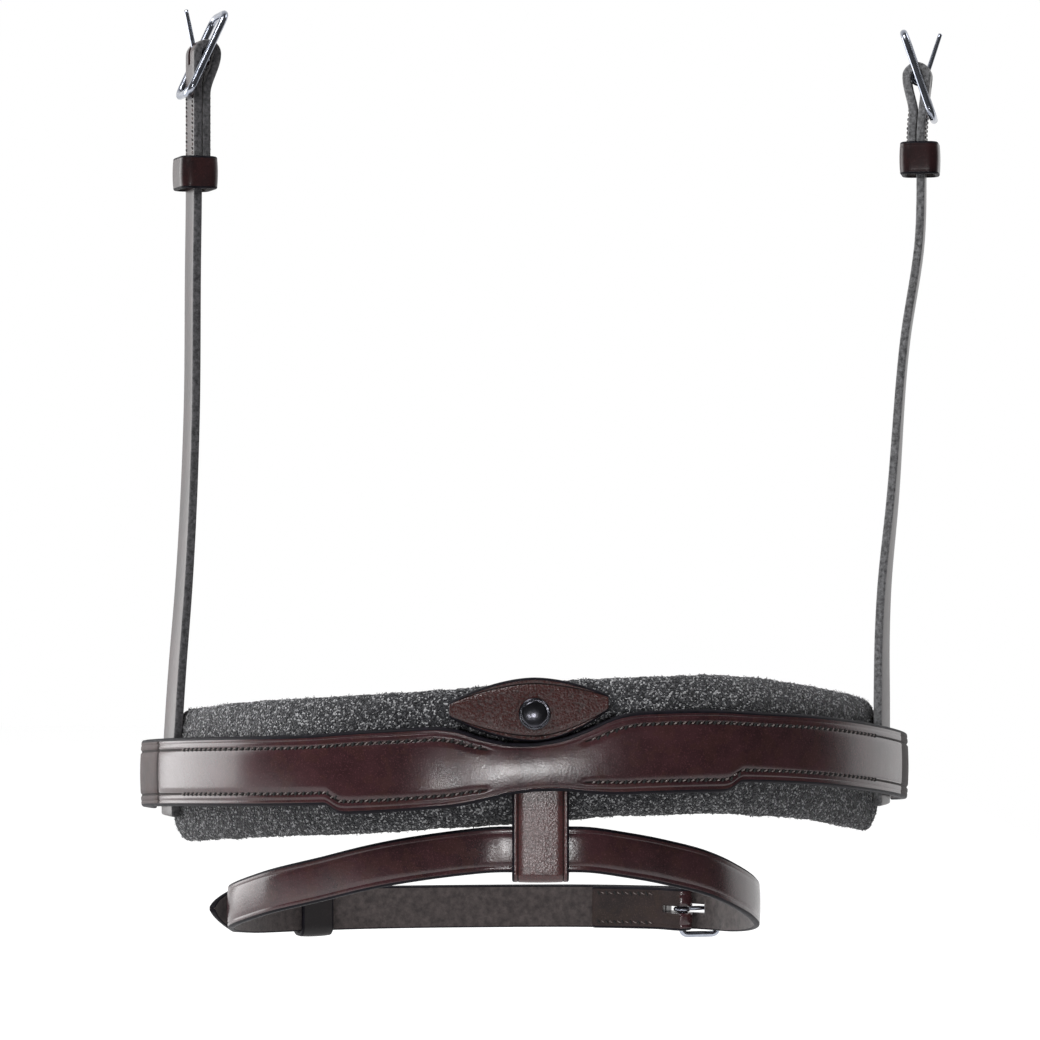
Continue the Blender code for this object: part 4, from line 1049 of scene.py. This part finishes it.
def make_pad():
    rng = np.random.default_rng(11)
    points, normals = pad_surface()
    for i in range(PAD_STATIONS):
        for k in range(PAD_ROUND_STEPS):
            where = Vector(points[i, k])
            soft = sum(height * noise.noise(where * scale) for height, scale in PAD_SWELLS)
            points[i, k] += normals[i, k] * (PAD_SKIN + soft)
    points += normals * rng.uniform(*PAD_YARN_HEIGHTS, points.shape[:2])[:, :, None]
    verts = points.reshape(-1, 3)
    faces = []
    for i in range(PAD_STATIONS - 1):
        faces += faces_between(i * PAD_ROUND_STEPS, (i + 1) * PAD_ROUND_STEPS, PAD_ROUND_STEPS)
    last = (PAD_STATIONS - 1) * PAD_ROUND_STEPS
    faces.append(tuple(range(PAD_ROUND_STEPS)))
    faces.append(tuple(range(last, last + PAD_ROUND_STEPS))[::-1])
    pad = add_piece(mesh_of("pad_textile", verts, faces), [TEXTILE], "noseband", "pad_fabric",
                    "nose_pad")
    parts = []
    for i, k, turn, size in zip(rng.integers(2, PAD_STATIONS - 2, FIBRE_COUNT),
                                rng.integers(0, PAD_ROUND_STEPS, FIBRE_COUNT),
                                rng.uniform(0, math.pi, FIBRE_COUNT),
                                rng.uniform(0.6, 1.25, FIBRE_COUNT)):
        root, out = points[i, k], normals[i, k]
        side = np.cross(out, (math.cos(turn), math.sin(turn), 0.4))
        side /= max(np.linalg.norm(side), 0.1)
        loop = [root + side * (FIBRE_HALF_SPAN * size * math.cos(a))
                + out * (FIBRE_HEIGHT * size * math.sin(a))
                for a in np.linspace(-0.3, math.pi + 0.3, 6)]
        parts.append(tube(loop, FIBRE_RADIUS, sides=3))
    add_piece(mesh_of("pad_fibres", *join_parts(parts)), [FIBRE], "noseband", "pad_fabric",
              "nose_pad")


# Flash loop, its tab and the stud

TAB_MARKS = (Mark(0.0020, 0.00030, 0.00050),)
TAB_SLANT_SHARE = 2.6
LINING_TRIM = 0.0001
STUD_LIFT = 0.0001
STUD_DOME_RADIUS = 0.0041
STUD_DOME_DROP = 0.00055
# Radius and height of the groove between the stud's dome and its rim
STUD_GROOVE = ((0.00425, 0.00148), (0.0044, 0.00150), (0.00475, 0.00158))
STUD_RIM_RADIUS = 0.0048
STUD_RIM_HEIGHT = 0.00108
STUD_RIM_ROUND = 0.0005
SOCKET_RECESS_RADIUS = 0.0045


def leaf_outs():
    """How far out the middles of the loop's two leaves lie."""
    front = -GAP - LEAF_THICKNESS / 2
    return front, front - LEAF_THICKNESS - GAP


def make_loop():
    front_out, back_out = leaf_outs()
    behind_out = front_out - LEAF_THICKNESS - FLASH_THICKNESS - 2 * GAP
    flex = band_edges(0)[0] - LOOP_FLEX_DROP
    back_top = TAB_BOTTOM + BACK_LEAF_TOP_SHARE * TAB_HEIGHT
    front_top = TAB_BOTTOM - TAB_HINGE_DROP - GAP
    strap_top = -FLASH_DROP + FLASH_WIDTH / 2
    strap_bottom = -FLASH_DROP - FLASH_WIDTH / 2 - GAP
    spread_top = strap_top + LOOP_SPREAD_RISE
    path = [(z, back_out) for z in np.linspace(back_top, spread_top, 24)]
    for share in np.linspace(0, 1, 9)[1:]:
        path.append((spread_top - share * (LOOP_SPREAD_RISE - GAP),
                     back_out + (behind_out - back_out) * ease(share)))
    radius = (front_out - behind_out) / 2
    centre = (front_out + behind_out) / 2
    path += [(z, behind_out) for z in np.linspace(path[-1][0], strap_bottom, 10)[1:-1]]
    for turn in np.linspace(math.pi, 0, 17):
        path.append((strap_bottom - radius * math.sin(turn), centre + radius * math.cos(turn)))
    path += [(z, front_out) for z in np.linspace(strap_bottom, front_top, 44)[1:]]
    half = LEAF_WIDTH / 2
    rows = [(z, out, -half, half) for z, out in path]
    mesh = strap_mesh("loop_leather", *rails(LOOP_LINE, rows), LEAF_THICKNESS,
                      marks=(Mark(0.0019, 0.00026, 0.00040),), crown=0.00025, edge=0.0007)
    loop = add_piece(mesh, strap_finish(LOOP_GRAIN), None, "leather", "loop_front_leaf",
                     "flash_loop", "loop_back_leaf")
    middle = (front_out + back_out) / 2
    LOOP_LINE.place(flex + 0.002, middle)
    LOOP_LINE.place(flex - 0.004, middle)
    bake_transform(loop)


def tab_rows(out, trim=0.0):
    """Rows of the lens outline and how much its edges slant there."""
    rows, spread = [], []
    for share in np.linspace(-1, 1, 121):
        tip = TAB_BOTTOM + (TAB_TIP_SHARE if share < 0 else TAB_TIP_SHARE_RIGHT) * TAB_HEIGHT
        reach = (TAB_HALF_WIDTH_LEFT if share < 0 else TAB_HALF_WIDTH_RIGHT) - trim
        swell = 1 - abs(share) ** TAB_ARC_POWER
        low, high = tip - TAB_TIP_HALF_HEIGHT, tip + TAB_TIP_HALF_HEIGHT
        rows.append((share * reach, out, low + (TAB_BOTTOM + trim - low) * swell,
                     high + (TAB_BOTTOM + TAB_HEIGHT - trim - high) * swell))
        slope = TAB_ARC_POWER * abs(share) ** (TAB_ARC_POWER - 1)
        slant = slope * TAB_HEIGHT / TAB_SLANT_SHARE / reach
        spread.append(math.sqrt(1 + slant ** 2))
    return rows, spread


def stud_frame():
    height = TAB_BOTTOM + STUD_RISE_SHARE * TAB_HEIGHT
    place = Vector((0, -BAND_FACE_DEPTH, height))
    return Matrix.Translation(place) @ Matrix.Rotation(math.pi / 2, 4, "X")


def turned(profile, frame):
    """Verts and faces of a turned form whose profile starts and ends on its axis."""
    steps = 72
    verts = [frame @ Vector((0, 0, profile[0][1]))]
    for radius, height in profile[1:-1]:
        verts += [frame @ Vector((x, y, height)) for x, y in circle(radius, steps)]
    verts.append(frame @ Vector((0, 0, profile[-1][1])))
    faces = []
    rings = len(profile) - 2
    for k in range(steps):
        m = (k + 1) % steps
        faces.append((0, 1 + k, 1 + m))
        for ring in range(rings - 1):
            a, b = 1 + ring * steps, 1 + (ring + 1) * steps
            faces.append((a + k, b + k, b + m, a + m))
        end = 1 + (rings - 1) * steps
        faces.append((end + m, end + k, len(verts) - 1))
    return verts, faces


def make_tab():
    lining_out = leaf_outs()[0] + LEAF_THICKNESS / 2 - TAB_LINING_THICKNESS / 2
    tab_out = lining_out + TAB_LINING_THICKNESS / 2 + GAP + TAB_THICKNESS / 2
    line = Course([(x, -BAND_FACE_DEPTH, 0) for x in np.linspace(-0.04, 0.04, 3)], UP, -0.04)
    rows, spread = tab_rows(tab_out)
    mesh = strap_mesh("tab_leather", *rails(line, rows), TAB_THICKNESS, marks=TAB_MARKS,
                      crown=0.0003, edge=0.0008, spread=spread, cap=0.0005)
    add_piece(mesh, strap_finish(TAB_GRAIN_SHADED), "tab", "leather", "flash_tab")
    rows, spread = tab_rows(lining_out, LINING_TRIM)
    mesh = strap_mesh("tab_lining", *rails(line, rows), TAB_LINING_THICKNESS, grain=-1,
                      edge=0.0005, spread=spread, cap=0.0004)
    lining = add_piece(mesh, [DARK_AND_SHADE, EDGE, EDGE], "tab", "dark_leather", "flash_tab_lining")
    cut_with(lining, [drum(stud_frame(), SOCKET_RECESS_RADIUS, 0.012)])
    face = tab_out + TAB_THICKNESS / 2 + STUD_LIFT
    dome = [(0.0, face + STUD_HEIGHT)]
    for share in np.linspace(0, 1, 12)[1:]:
        dome.append((STUD_DOME_RADIUS * share, face + STUD_HEIGHT - STUD_DOME_DROP * share ** 2))
    dome += [(radius, face + height) for radius, height in STUD_GROOVE]
    for turn in np.linspace(0, math.pi / 2, 7):
        dome.append((STUD_RIM_RADIUS + STUD_RIM_ROUND * math.sin(turn),
                     face + STUD_RIM_HEIGHT + STUD_RIM_ROUND * math.cos(turn)))
    dome += [(STUD_RADIUS, face + 0.0003), (STUD_RADIUS - 0.0003, face), (0.0, face)]
    add_piece(mesh_of("stud_cap", *turned(dome, stud_frame())), [GUNMETAL], "tab", "gunmetal",
              "snap_cap")


# Straps with buckles

LAP_STITCH_INSET = 0.0024
HALF_LAP_STITCHES = (0.012, 0.032)
CHIN_MARKS = (Mark(0.0026, 0.00018, 0.00045),)
FLASH_MARKS = (Mark(0.0022, 0.00026, 0.00045, 0.45),)
KEEPER_MARKS = (Mark(0.0014, 0.00008, 0.0004, 0.4),)
WIRE_SIDES = 18
BAR_SHARE = 0.96
HANGER_SLOT_MARGIN = 0.001
HANGER_LAP_START = 0.014
HANGER_LAP_END = 0.002


def even_rows(path, half):
    """Rows of a strap of even width along a path of places and distances out."""
    return [(along, out, -half, half) for along, out in path]


def fold_path(bar, layer_out, bore, thickness, length, facing):
    """Path of a strap's end folded round a buckle bar, from the fold's free end to the bar."""
    radius = bore + thickness / 2
    lap = layer_out - thickness - GAP
    centre = layer_out - radius
    far = layer_out - 2 * radius
    neck = FOLD_NECK_SHARE * radius
    path = [(bar + facing * place, lap) for place in np.linspace(length, neck, 16)]
    for share in np.linspace(1, 0, 12)[1:-1]:
        path.append((bar + facing * neck * share, far + (lap - far) * ease(share)))
    for turn in np.linspace(math.pi, 0, 17):
        path.append((bar - facing * radius * math.sin(turn), centre + radius * math.cos(turn)))
    return path


def rounded_ring(length, width, corner):
    points = []
    for quarter, (sx, sy) in enumerate(((1, 1), (-1, 1), (-1, -1), (1, -1))):
        for turn in np.linspace(0, math.pi / 2, 9):
            angle = quarter * math.pi / 2 + turn
            points.append((sx * (length / 2 - corner) + corner * math.cos(angle),
                           sy * (width / 2 - corner) + corner * math.sin(angle)))
    return points


def refined_ring(points, pitch):
    """The ring with extra points on its straight runs."""
    result = []
    for a, b in zip(points, points[1:] + points[:1]):
        steps = max(1, int(math.dist(a, b) / pitch))
        for t in np.linspace(0, 1, steps, endpoint=False):
            result.append((a[0] + (b[0] - a[0]) * t, a[1] + (b[1] - a[1]) * t))
    return result


def keeper_piece(name, node, frame, length, inner_out, inner_in, half_width, body,
                 cover=BURGUNDY):
    """A leather loop round a strap, with a line pressed along both edges."""
    height = inner_out + inner_in + KEEPER_WALL
    width = 2 * half_width + KEEPER_WALL
    corner = KEEPER_CORNER + KEEPER_WALL / 2
    ring = refined_ring(rounded_ring(height, width, corner), pitch=0.0008)
    middle = (inner_out - inner_in) / 2
    lows, highs = [], []
    for x, y in ring:
        for rail, way in ((lows, -1), (highs, 1)):
            rail.append(frame @ Vector((way * length / 2, y, middle + x)))
    mesh = strap_mesh(name, lows, highs, KEEPER_WALL, grain=-1, edge=0.00075, closed=True,
                      marks=KEEPER_MARKS, crown=0.0003)
    add_piece(mesh, strap_finish(cover), body, "leather", node)


def frame_piece(name, node, frame, near_end, far_end, strap_width, radius, corner, body):
    """A wire buckle frame with a bar across it at its own origin."""
    width = strap_width + 2 * (BUCKLE_SIDE_CLEARANCE + radius)
    middle = (far_end + near_end) / 2
    ring = refined_ring(rounded_ring(far_end - near_end, width, corner), pitch=0.0015)
    parts = [tube([frame @ Vector((x + middle, y, 0)) for x, y in ring], radius, cyclic=True,
                  sides=WIRE_SIDES)]
    if near_end < 0:
        bar = [frame @ Vector((0, y, 0)) for y in np.linspace(-width / 2, width / 2, 5)]
        parts.append(tube(bar, radius * BAR_SHARE, sides=WIRE_SIDES))
    add_piece(mesh_of(name, *join_parts(parts)), [STEEL], body, "steel", node)


def tongue_piece(name, node, frame, bar_radius, length, lift, body):
    """A wire tongue: an eye round the bar, then a straight pin that leaves it."""
    eye = bar_radius + TONGUE_BORE_GAP + TONGUE_RADIUS
    points = []
    for turn in np.linspace(-EYE_WRAP, 0, 28):
        angle = math.pi / 2 + lift - turn
        points.append((eye * math.cos(angle), 0, eye * math.sin(angle)))
    x, _, z = points[-1]
    for reach in np.linspace(0, 1, 14)[1:] * length:
        points.append((x + reach * math.cos(lift), 0, z + reach * math.sin(lift)))
    pin = tube([frame @ Vector(p) for p in points], TONGUE_RADIUS, taper=0.2)
    add_piece(mesh_of(name, *pin), [STEEL], body, "steel", node)


def billet_rise(distance):
    """Share of the rise onto the layer below, at a distance before the buckle's bar."""
    return ease((BILLET_RISE_RUN - distance) / (BILLET_RISE_RUN * BILLET_RISE_SHARE))


def half_buckle_out(thickness):
    return -(thickness / 2 + GAP + HALF_WIRE_RADIUS)


def half_buckle_tilt(thickness):
    billet = (thickness + GAP) * RISE_SHARE + thickness / 2
    lift = billet + 2 * GAP + HALF_WIRE_RADIUS - half_buckle_out(thickness)
    return math.asin(lift / HALF_BUCKLE_LENGTH)


def full_buckle_tilt():
    lift = 2 * (HANGER_THICKNESS / 2 + GAP + WIRE_RADIUS)
    return math.asin(lift / (BUCKLE_LENGTH / 2 - WIRE_RADIUS - BUCKLE_CORNER / 4))


def tip_half_width(half, taper):
    return half + (TIP_HALF_WIDTH - half) * taper ** TIP_POWER


def slot_block(frame, start, end, depth):
    """The cut that a tongue passes through, along a frame's X."""
    width = 2 * (TONGUE_RADIUS + TONGUE_SLOT_CLEARANCE)
    middle = frame @ Matrix.Translation(((start + end) / 2, 0, 0))
    return block(middle, (end - start, width, 2 * depth))


def half_slot(course, bar, bar_out):
    return slot_block(course.frame(bar, bar_out), -HALF_SLOT_REACH, HALF_SLOT_REACH,
                      HALF_SLOT_REACH)


def half_buckle(name, course, bar, bar_out, width, thickness, facing):
    """A frame that ends at its bar, with its tongue; the fold is on the bar's facing side."""
    at_bar = course.frame(bar, bar_out)
    if facing > 0:
        at_bar = at_bar @ Matrix.Rotation(math.pi, 4, "Z")
    tilt = half_buckle_tilt(thickness)
    tilted = at_bar @ Matrix.Rotation(-tilt, 4, "Y")
    frame_piece(name + "_buckle_frame", name + "_buckle", tilted, 0, HALF_BUCKLE_LENGTH, width,
                HALF_WIRE_RADIUS, HALF_BUCKLE_CORNER, name + "_buckle")
    tongue_piece(name + "_buckle_tongue", name + "_tongue", at_bar, HALF_WIRE_RADIUS,
                 HALF_BUCKLE_LENGTH + 2 * HALF_WIRE_RADIUS, tilt, name + "_tongue")


def billet_holes(course, engaged, outs, thickness):
    """The long hole that the tongue is in, and the round ones after it."""
    depth = thickness + GAP
    holes = [block(course.frame(engaged, outs[0]),
                   (TONGUE_HOLE_LENGTH, 2 * HOLE_RADIUS, 2 * depth))]
    for i in range(HOLE_COUNT):
        frame = course.frame(engaged + (i + 1) * HOLE_SPACING, outs[1])
        holes.append(drum(frame, HOLE_RADIUS, 2 * depth))
    return holes


def lap_stitches(name, course, bar, out, facing, spans, half, body, side=-1):
    """Two rows of stitches through a fold."""
    def place_at(start):
        along, up = start
        return (course.place(along, out, up), course.heading(along), course.across(along),
                side * course.outward(along))
    starts = [(bar + facing * place, way * (half - LAP_STITCH_INSET))
              for place in np.arange(spans[0], spans[1], STITCH_PITCH) for way in (-1, 1)]
    stitch_rows(name, place_at, starts, body, radius=0.00022, sink=0.0001)


def make_flash_strap():
    half = FLASH_WIDTH / 2
    bore = HALF_WIRE_RADIUS + HALF_FOLD_SLACK
    lap = FLASH_THICKNESS + GAP
    total = FLASH_RING.total
    path = fold_path(0, 0, bore, FLASH_THICKNESS, FLASH_FOLD_LENGTH, 1)
    path += [(along, lap * billet_rise(total - along)) for along in np.linspace(0, total, 300)[1:]]
    rows = even_rows(path, half)
    tip_start = FLASH_TAIL_LENGTH - FLASH_TIP_LENGTH
    tail = np.concatenate((np.linspace(0, tip_start, 110)[1:],
                           np.linspace(tip_start, FLASH_TAIL_LENGTH, 22)[1:]))
    for along in tail:
        taper = max(along - tip_start, 0) / FLASH_TIP_LENGTH
        width = tip_half_width(half, taper)
        rows.append((total + along, lap + FLASH_TAIL_FLARE * ease(taper), -width, width))
    mesh = strap_mesh("flash_strap_leather", *rails(FLASH_RING, rows), FLASH_THICKNESS,
                      marks=FLASH_MARKS, crown=0.00035, cuffs=((FLASH_FOLD_LENGTH, 4), (0.0, 0)))
    strap = add_piece(mesh, strap_finish(GLOSSY, FOLD), "flash_strap", "leather", "flash_strap")
    bar_out = half_buckle_out(FLASH_THICKNESS)
    cut_with(strap, [half_slot(FLASH_RING, 0, bar_out),
                     *billet_holes(FLASH_RING, total - HOLE_PLACE, (lap, lap), FLASH_THICKNESS)])
    lap_stitches("flash_fold", FLASH_RING, 0, -lap - FLASH_THICKNESS / 2, 1,
                 HALF_LAP_STITCHES, half, "flash_strap")
    half_buckle("flash", FLASH_RING, 0, bar_out, FLASH_WIDTH, FLASH_THICKNESS, 1)
    face = FLASH_THICKNESS / 2 + GAP + KEEPER_EASE
    # The flash keeper is near black as painted shade
    keeper_piece("flash_keeper_loop", "flash_keeper", FLASH_RING.frame(FLASH_KEEPER_PLACE),
                 FLASH_KEEPER_LENGTH, face + lap, face, half + GAP, "flash_keeper", DARK_AND_SHADE)


def chin_piece(name, rows, node):
    mesh = strap_mesh(name, *rails(RING, rows), CHIN_THICKNESS, grain=-1, marks=CHIN_MARKS,
                      crown=0.00035)
    return add_piece(mesh, strap_finish(BURGUNDY), "noseband", "leather", node)


def make_chin_strap():
    half = CHIN_WIDTH / 2
    lap = CHIN_THICKNESS + GAP
    under = -GAP - CHIN_THICKNESS / 2
    bar_out = under + half_buckle_out(CHIN_THICKNESS)
    bore = HALF_WIRE_RADIUS + HALF_FOLD_SLACK
    path = fold_path(CHIN_BAR_PLACE, under, bore, CHIN_THICKNESS, CHIN_FOLD_LENGTH, -1)
    path += [(along, under) for along in np.linspace(CHIN_BAR_PLACE, CHIN_START, 70)[1:]]
    strap = chin_piece("chin_buckle_leather", even_rows(path, half), "chin_buckle_strap")
    cut_with(strap, [half_slot(RING, CHIN_BAR_PLACE, bar_out)])
    lap_stitches("chin_fold", RING, CHIN_BAR_PLACE, under - lap - CHIN_THICKNESS / 2,
                 -1, HALF_LAP_STITCHES, half, "noseband")
    total = RING.total
    tip = CHIN_TIP_PLACE - total
    rows = []
    for along in np.concatenate((np.linspace(-CHIN_START, tip + CHIN_TIP_LENGTH, 190),
                                 np.linspace(tip + CHIN_TIP_LENGTH, tip, 20)[1:])):
        out = under + lap * billet_rise(along - CHIN_BAR_PLACE + total)
        taper = max(tip + CHIN_TIP_LENGTH - along, 0) / CHIN_TIP_LENGTH
        width = tip_half_width(half, taper)
        rows.append((along, out, -width, width))
    billet = chin_piece("chin_billet_leather", rows, "chin_billet")
    cut_with(billet, billet_holes(RING, CHIN_BAR_PLACE + HOLE_PLACE, (under + lap, under),
                                  CHIN_THICKNESS))
    half_buckle("chin", RING, CHIN_BAR_PLACE, bar_out, CHIN_WIDTH, CHIN_THICKNESS, -1)
    face = CHIN_THICKNESS / 2 + GAP + KEEPER_EASE
    for name, place, layers, body in (
            ("chin_keeper_fixed", CHIN_FIXED_KEEPER_PLACE, lap, "noseband"),
            ("chin_keeper_loose", CHIN_LOOSE_KEEPER_PLACE, 0, "chin_keeper_loose")):
        keeper_piece(name + "_loop", name, RING.frame(place, under), CHIN_KEEPER_LENGTH,
                     face + lap, face + layers, half + GAP, body)


def make_hanger(side):
    course = HANGERS[side]
    half = HANGER_WIDTH / 2
    bar = HANGER_RISES[side]
    bar_out = -(HANGER_THICKNESS / 2 + GAP + WIRE_RADIUS)
    path = fold_path(bar, 0, HANGER_FOLD_BORE, HANGER_THICKNESS, HANGER_FOLD_LENGTHS[side], -1)
    path += [(along, 0) for along in np.linspace(bar, HANGER_FLEX_TOP, 150)[1:]]
    path += [(along, 0) for along in np.linspace(HANGER_FLEX_TOP, -HANGER_TAIL_DROP, 60)[1:]]
    name = "hanger_" + side
    mesh = strap_mesh(name + "_leather", *rails(course, even_rows(path, half)), HANGER_THICKNESS,
                      grain=-1, crown=0.0003)
    strap = add_piece(mesh, [DEEP, CUT_EDGES_SHADED_AND_LIT[side], FLESH_AND_SHADE], None, "leather",
                      "hanger_tail_" + side, name)
    reach = HANGER_FOLD_BORE + HANGER_THICKNESS + HANGER_SLOT_MARGIN
    cut_with(strap, [slot_block(course.frame(bar, bar_out), -HANGER_SLOT_BACK, reach, reach)])
    course.place(HANGER_FLEX_RISE - 0.005)
    course.place(HANGER_FLEX_RISE + 0.007)
    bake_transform(strap)
    lap = HANGER_THICKNESS + GAP
    face = HANGER_THICKNESS / 2
    spans = (HANGER_LAP_START, HANGER_FOLD_LENGTHS[side] - HANGER_LAP_END)
    lap_stitches(name + "_lap", course, bar, -lap - face, -1, spans, half, name)
    lap_stitches(name + "_face", course, bar, face, -1, spans, half, name, side=1)
    at_bar = course.frame(bar, bar_out)
    tilted = at_bar @ Matrix.Rotation(full_buckle_tilt(), 4, "Y")
    reach = BUCKLE_LENGTH / 2 - WIRE_RADIUS
    frame_piece("buckle_frame_" + side, "hanger_buckle_" + side, tilted, -reach, reach,
                HANGER_WIDTH, WIRE_RADIUS, BUCKLE_CORNER, "hanger_buckle_" + side)
    tongue_piece("buckle_tongue_" + side, "hanger_tongue_" + side, at_bar, WIRE_RADIUS,
                 TONGUE_LENGTH, TONGUE_OPEN_ANGLE, "hanger_tongue_" + side)
    keeper_piece("hanger_keeper_loop_" + side, "hanger_keeper_" + side,
                 course.frame(bar - HANGER_KEEPER_DROPS[side]), HANGER_KEEPER_LENGTH,
                 HANGER_KEEPER_OUT, HANGER_KEEPER_IN, half + GAP, "hanger_keeper_" + side, DEEP)


# The band's backing is near black, partly as painted shade under the band's lower edge
CARRIED_FINISHES = {"band_backing_left": DARK_AND_SHADE, "band_backing_right": DARK_AND_SHADE, "snap_post": STEEL,
                    "snap_socket": STEEL}


def dress_carried_nodes():
    """Materials of the CAD nodes that stay."""
    for name, made in CARRIED_FINISHES.items():
        node = frame["nodes"][name]
        for place in node.material_slots:
            place.material = made
        if not node.material_slots:
            node.data.materials.append(made)


make_band()
make_pad()
make_loop()
make_tab()
make_flash_strap()
make_chin_strap()
for hanger_side in ("left", "right"):
    make_hanger(hanger_side)
dress_carried_nodes()

# Floor, light and camera

FLOOR_HEIGHT = -0.16
FLOOR_PLAN = ((-1.7, -0.30), (0.42, -0.30), (0.42, 3), (-1.7, 3))
FLOOR_GREY = 0.60
FLOOR_GLOW = 0.72
ROOM_BEHIND_CAMERA = 0.09
ROOM_BESIDE = 0.10
RIGHT_SHADE = 0.16
# Name, place, target, size and watts
LAMPS = (
    ("key", (-0.55, -0.66, 1.15), (0, 0.03, 0.02), (0.5, 0.5), 15),
    ("front", (0.00, -1.25, -0.12), (0, 0.0, -0.02), (0.04, 0.10), 2.1),
    ("front_left", (-0.25, -1.23, -0.18), (0, 0.0, -0.02), (0.06, 0.05), 0.8),
    ("left_side", (-1.0, 0.50, 0.10), (-0.1, 0.05, 0.02), (0.75, 0.8), 7),
    ("right_top", (0.80, 0.10, 0.90), (0.1, 0.05, 0.02), (0.5, 0.5), 3),
    ("right_side", (0.95, 0.75, 0.10), (0.1, 0.05, 0.02), (0.6, 0.8), 0.5),
)
CAMERA_LENS = 125.86
CAMERA_SENSOR = 36
CAMERA_TARGET = (-0.0048, -0.0146, 0.078)
CAMERA_DISTANCE = 1.1997
CAMERA_TURN = math.radians(-1.5)


def make_floor():
    mesh = mesh_of("floor", [(x, y, FLOOR_HEIGHT) for x, y in FLOOR_PLAN], [(0, 1, 2, 3)])
    tree = Tree(bpy.data.materials.new("pale_floor"))
    seen = tree.seen("Is Camera Ray", "Is Glossy Ray", "Is Transmission Ray")
    paint = tree.out("ShaderNodeBsdfDiffuse", Color=(*grey(FLOOR_GREY), 1))
    glow = tree.out("ShaderNodeEmission", Color=(1, 1, 1, 1), Strength=FLOOR_GLOW)
    both = tree.out("ShaderNodeAddShader", i0=paint, i1=glow)
    shown = tree.out("ShaderNodeMixShader", i0=seen, i1=paint, i2=both)
    mesh.materials.append(tree.end("ShaderNodeOutputMaterial", shown))
    floor = linked("floor", mesh)


def make_world():
    """White to the eye; as a light, bright behind the object and dim in front of it."""
    world = bpy.data.worlds.new("studio")
    bpy.context.scene.world = world
    tree = Tree(world)
    way = tree.add("ShaderNodeSeparateXYZ", i0=tree.add("ShaderNodeTexCoord").outputs["Generated"])
    behind = tree.math("ADD", tree.math("MULTIPLY", way.outputs[1], 0.5), 0.5)
    to_right = tree.math("MAXIMUM", way.outputs[0], 0.0)
    behind = tree.math("SUBTRACT", behind, tree.math("MULTIPLY", to_right, RIGHT_SHADE))
    level = tree.ramp(behind, ((0.0, grey(ROOM_BEHIND_CAMERA)), (0.46, grey(ROOM_BESIDE)),
                               (0.62, grey(0.9)), (1.0, grey(1.0))))
    seen = tree.seen("Is Camera Ray", "Is Transmission Ray")
    colour = tree.mix(seen, level, (1, 1, 1, 1))
    tree.end("ShaderNodeOutputWorld",
             tree.out("ShaderNodeBackground", Color=colour, Strength=1.0))


def soft_box(name, place, target, size, power):
    light = bpy.data.lights.new(name, "AREA")
    light.shape = "RECTANGLE"
    light.size, light.size_y = size
    light.energy = power
    lamp = linked(name, light)
    lamp.location = place
    way = Vector(target) - Vector(place)
    lamp.rotation_euler = way.to_track_quat("-Z", "Y").to_euler()
    lamp.visible_camera = False


def make_camera():
    camera = bpy.data.cameras.new("camera")
    camera.lens = CAMERA_LENS
    camera.sensor_width = CAMERA_SENSOR
    camera.clip_start = 0.05
    holder = linked("camera", camera)
    x, y, z = CAMERA_TARGET
    holder.location = (x + CAMERA_DISTANCE * math.sin(CAMERA_TURN),
                       y - CAMERA_DISTANCE * math.cos(CAMERA_TURN), z)
    holder.rotation_euler = (math.pi / 2, 0, CAMERA_TURN)
    bpy.context.scene.camera = holder


make_floor()
make_world()
for lamp_values in LAMPS:
    soft_box(*lamp_values)
make_camera()
bpy.context.scene.view_settings.view_transform = "Standard"
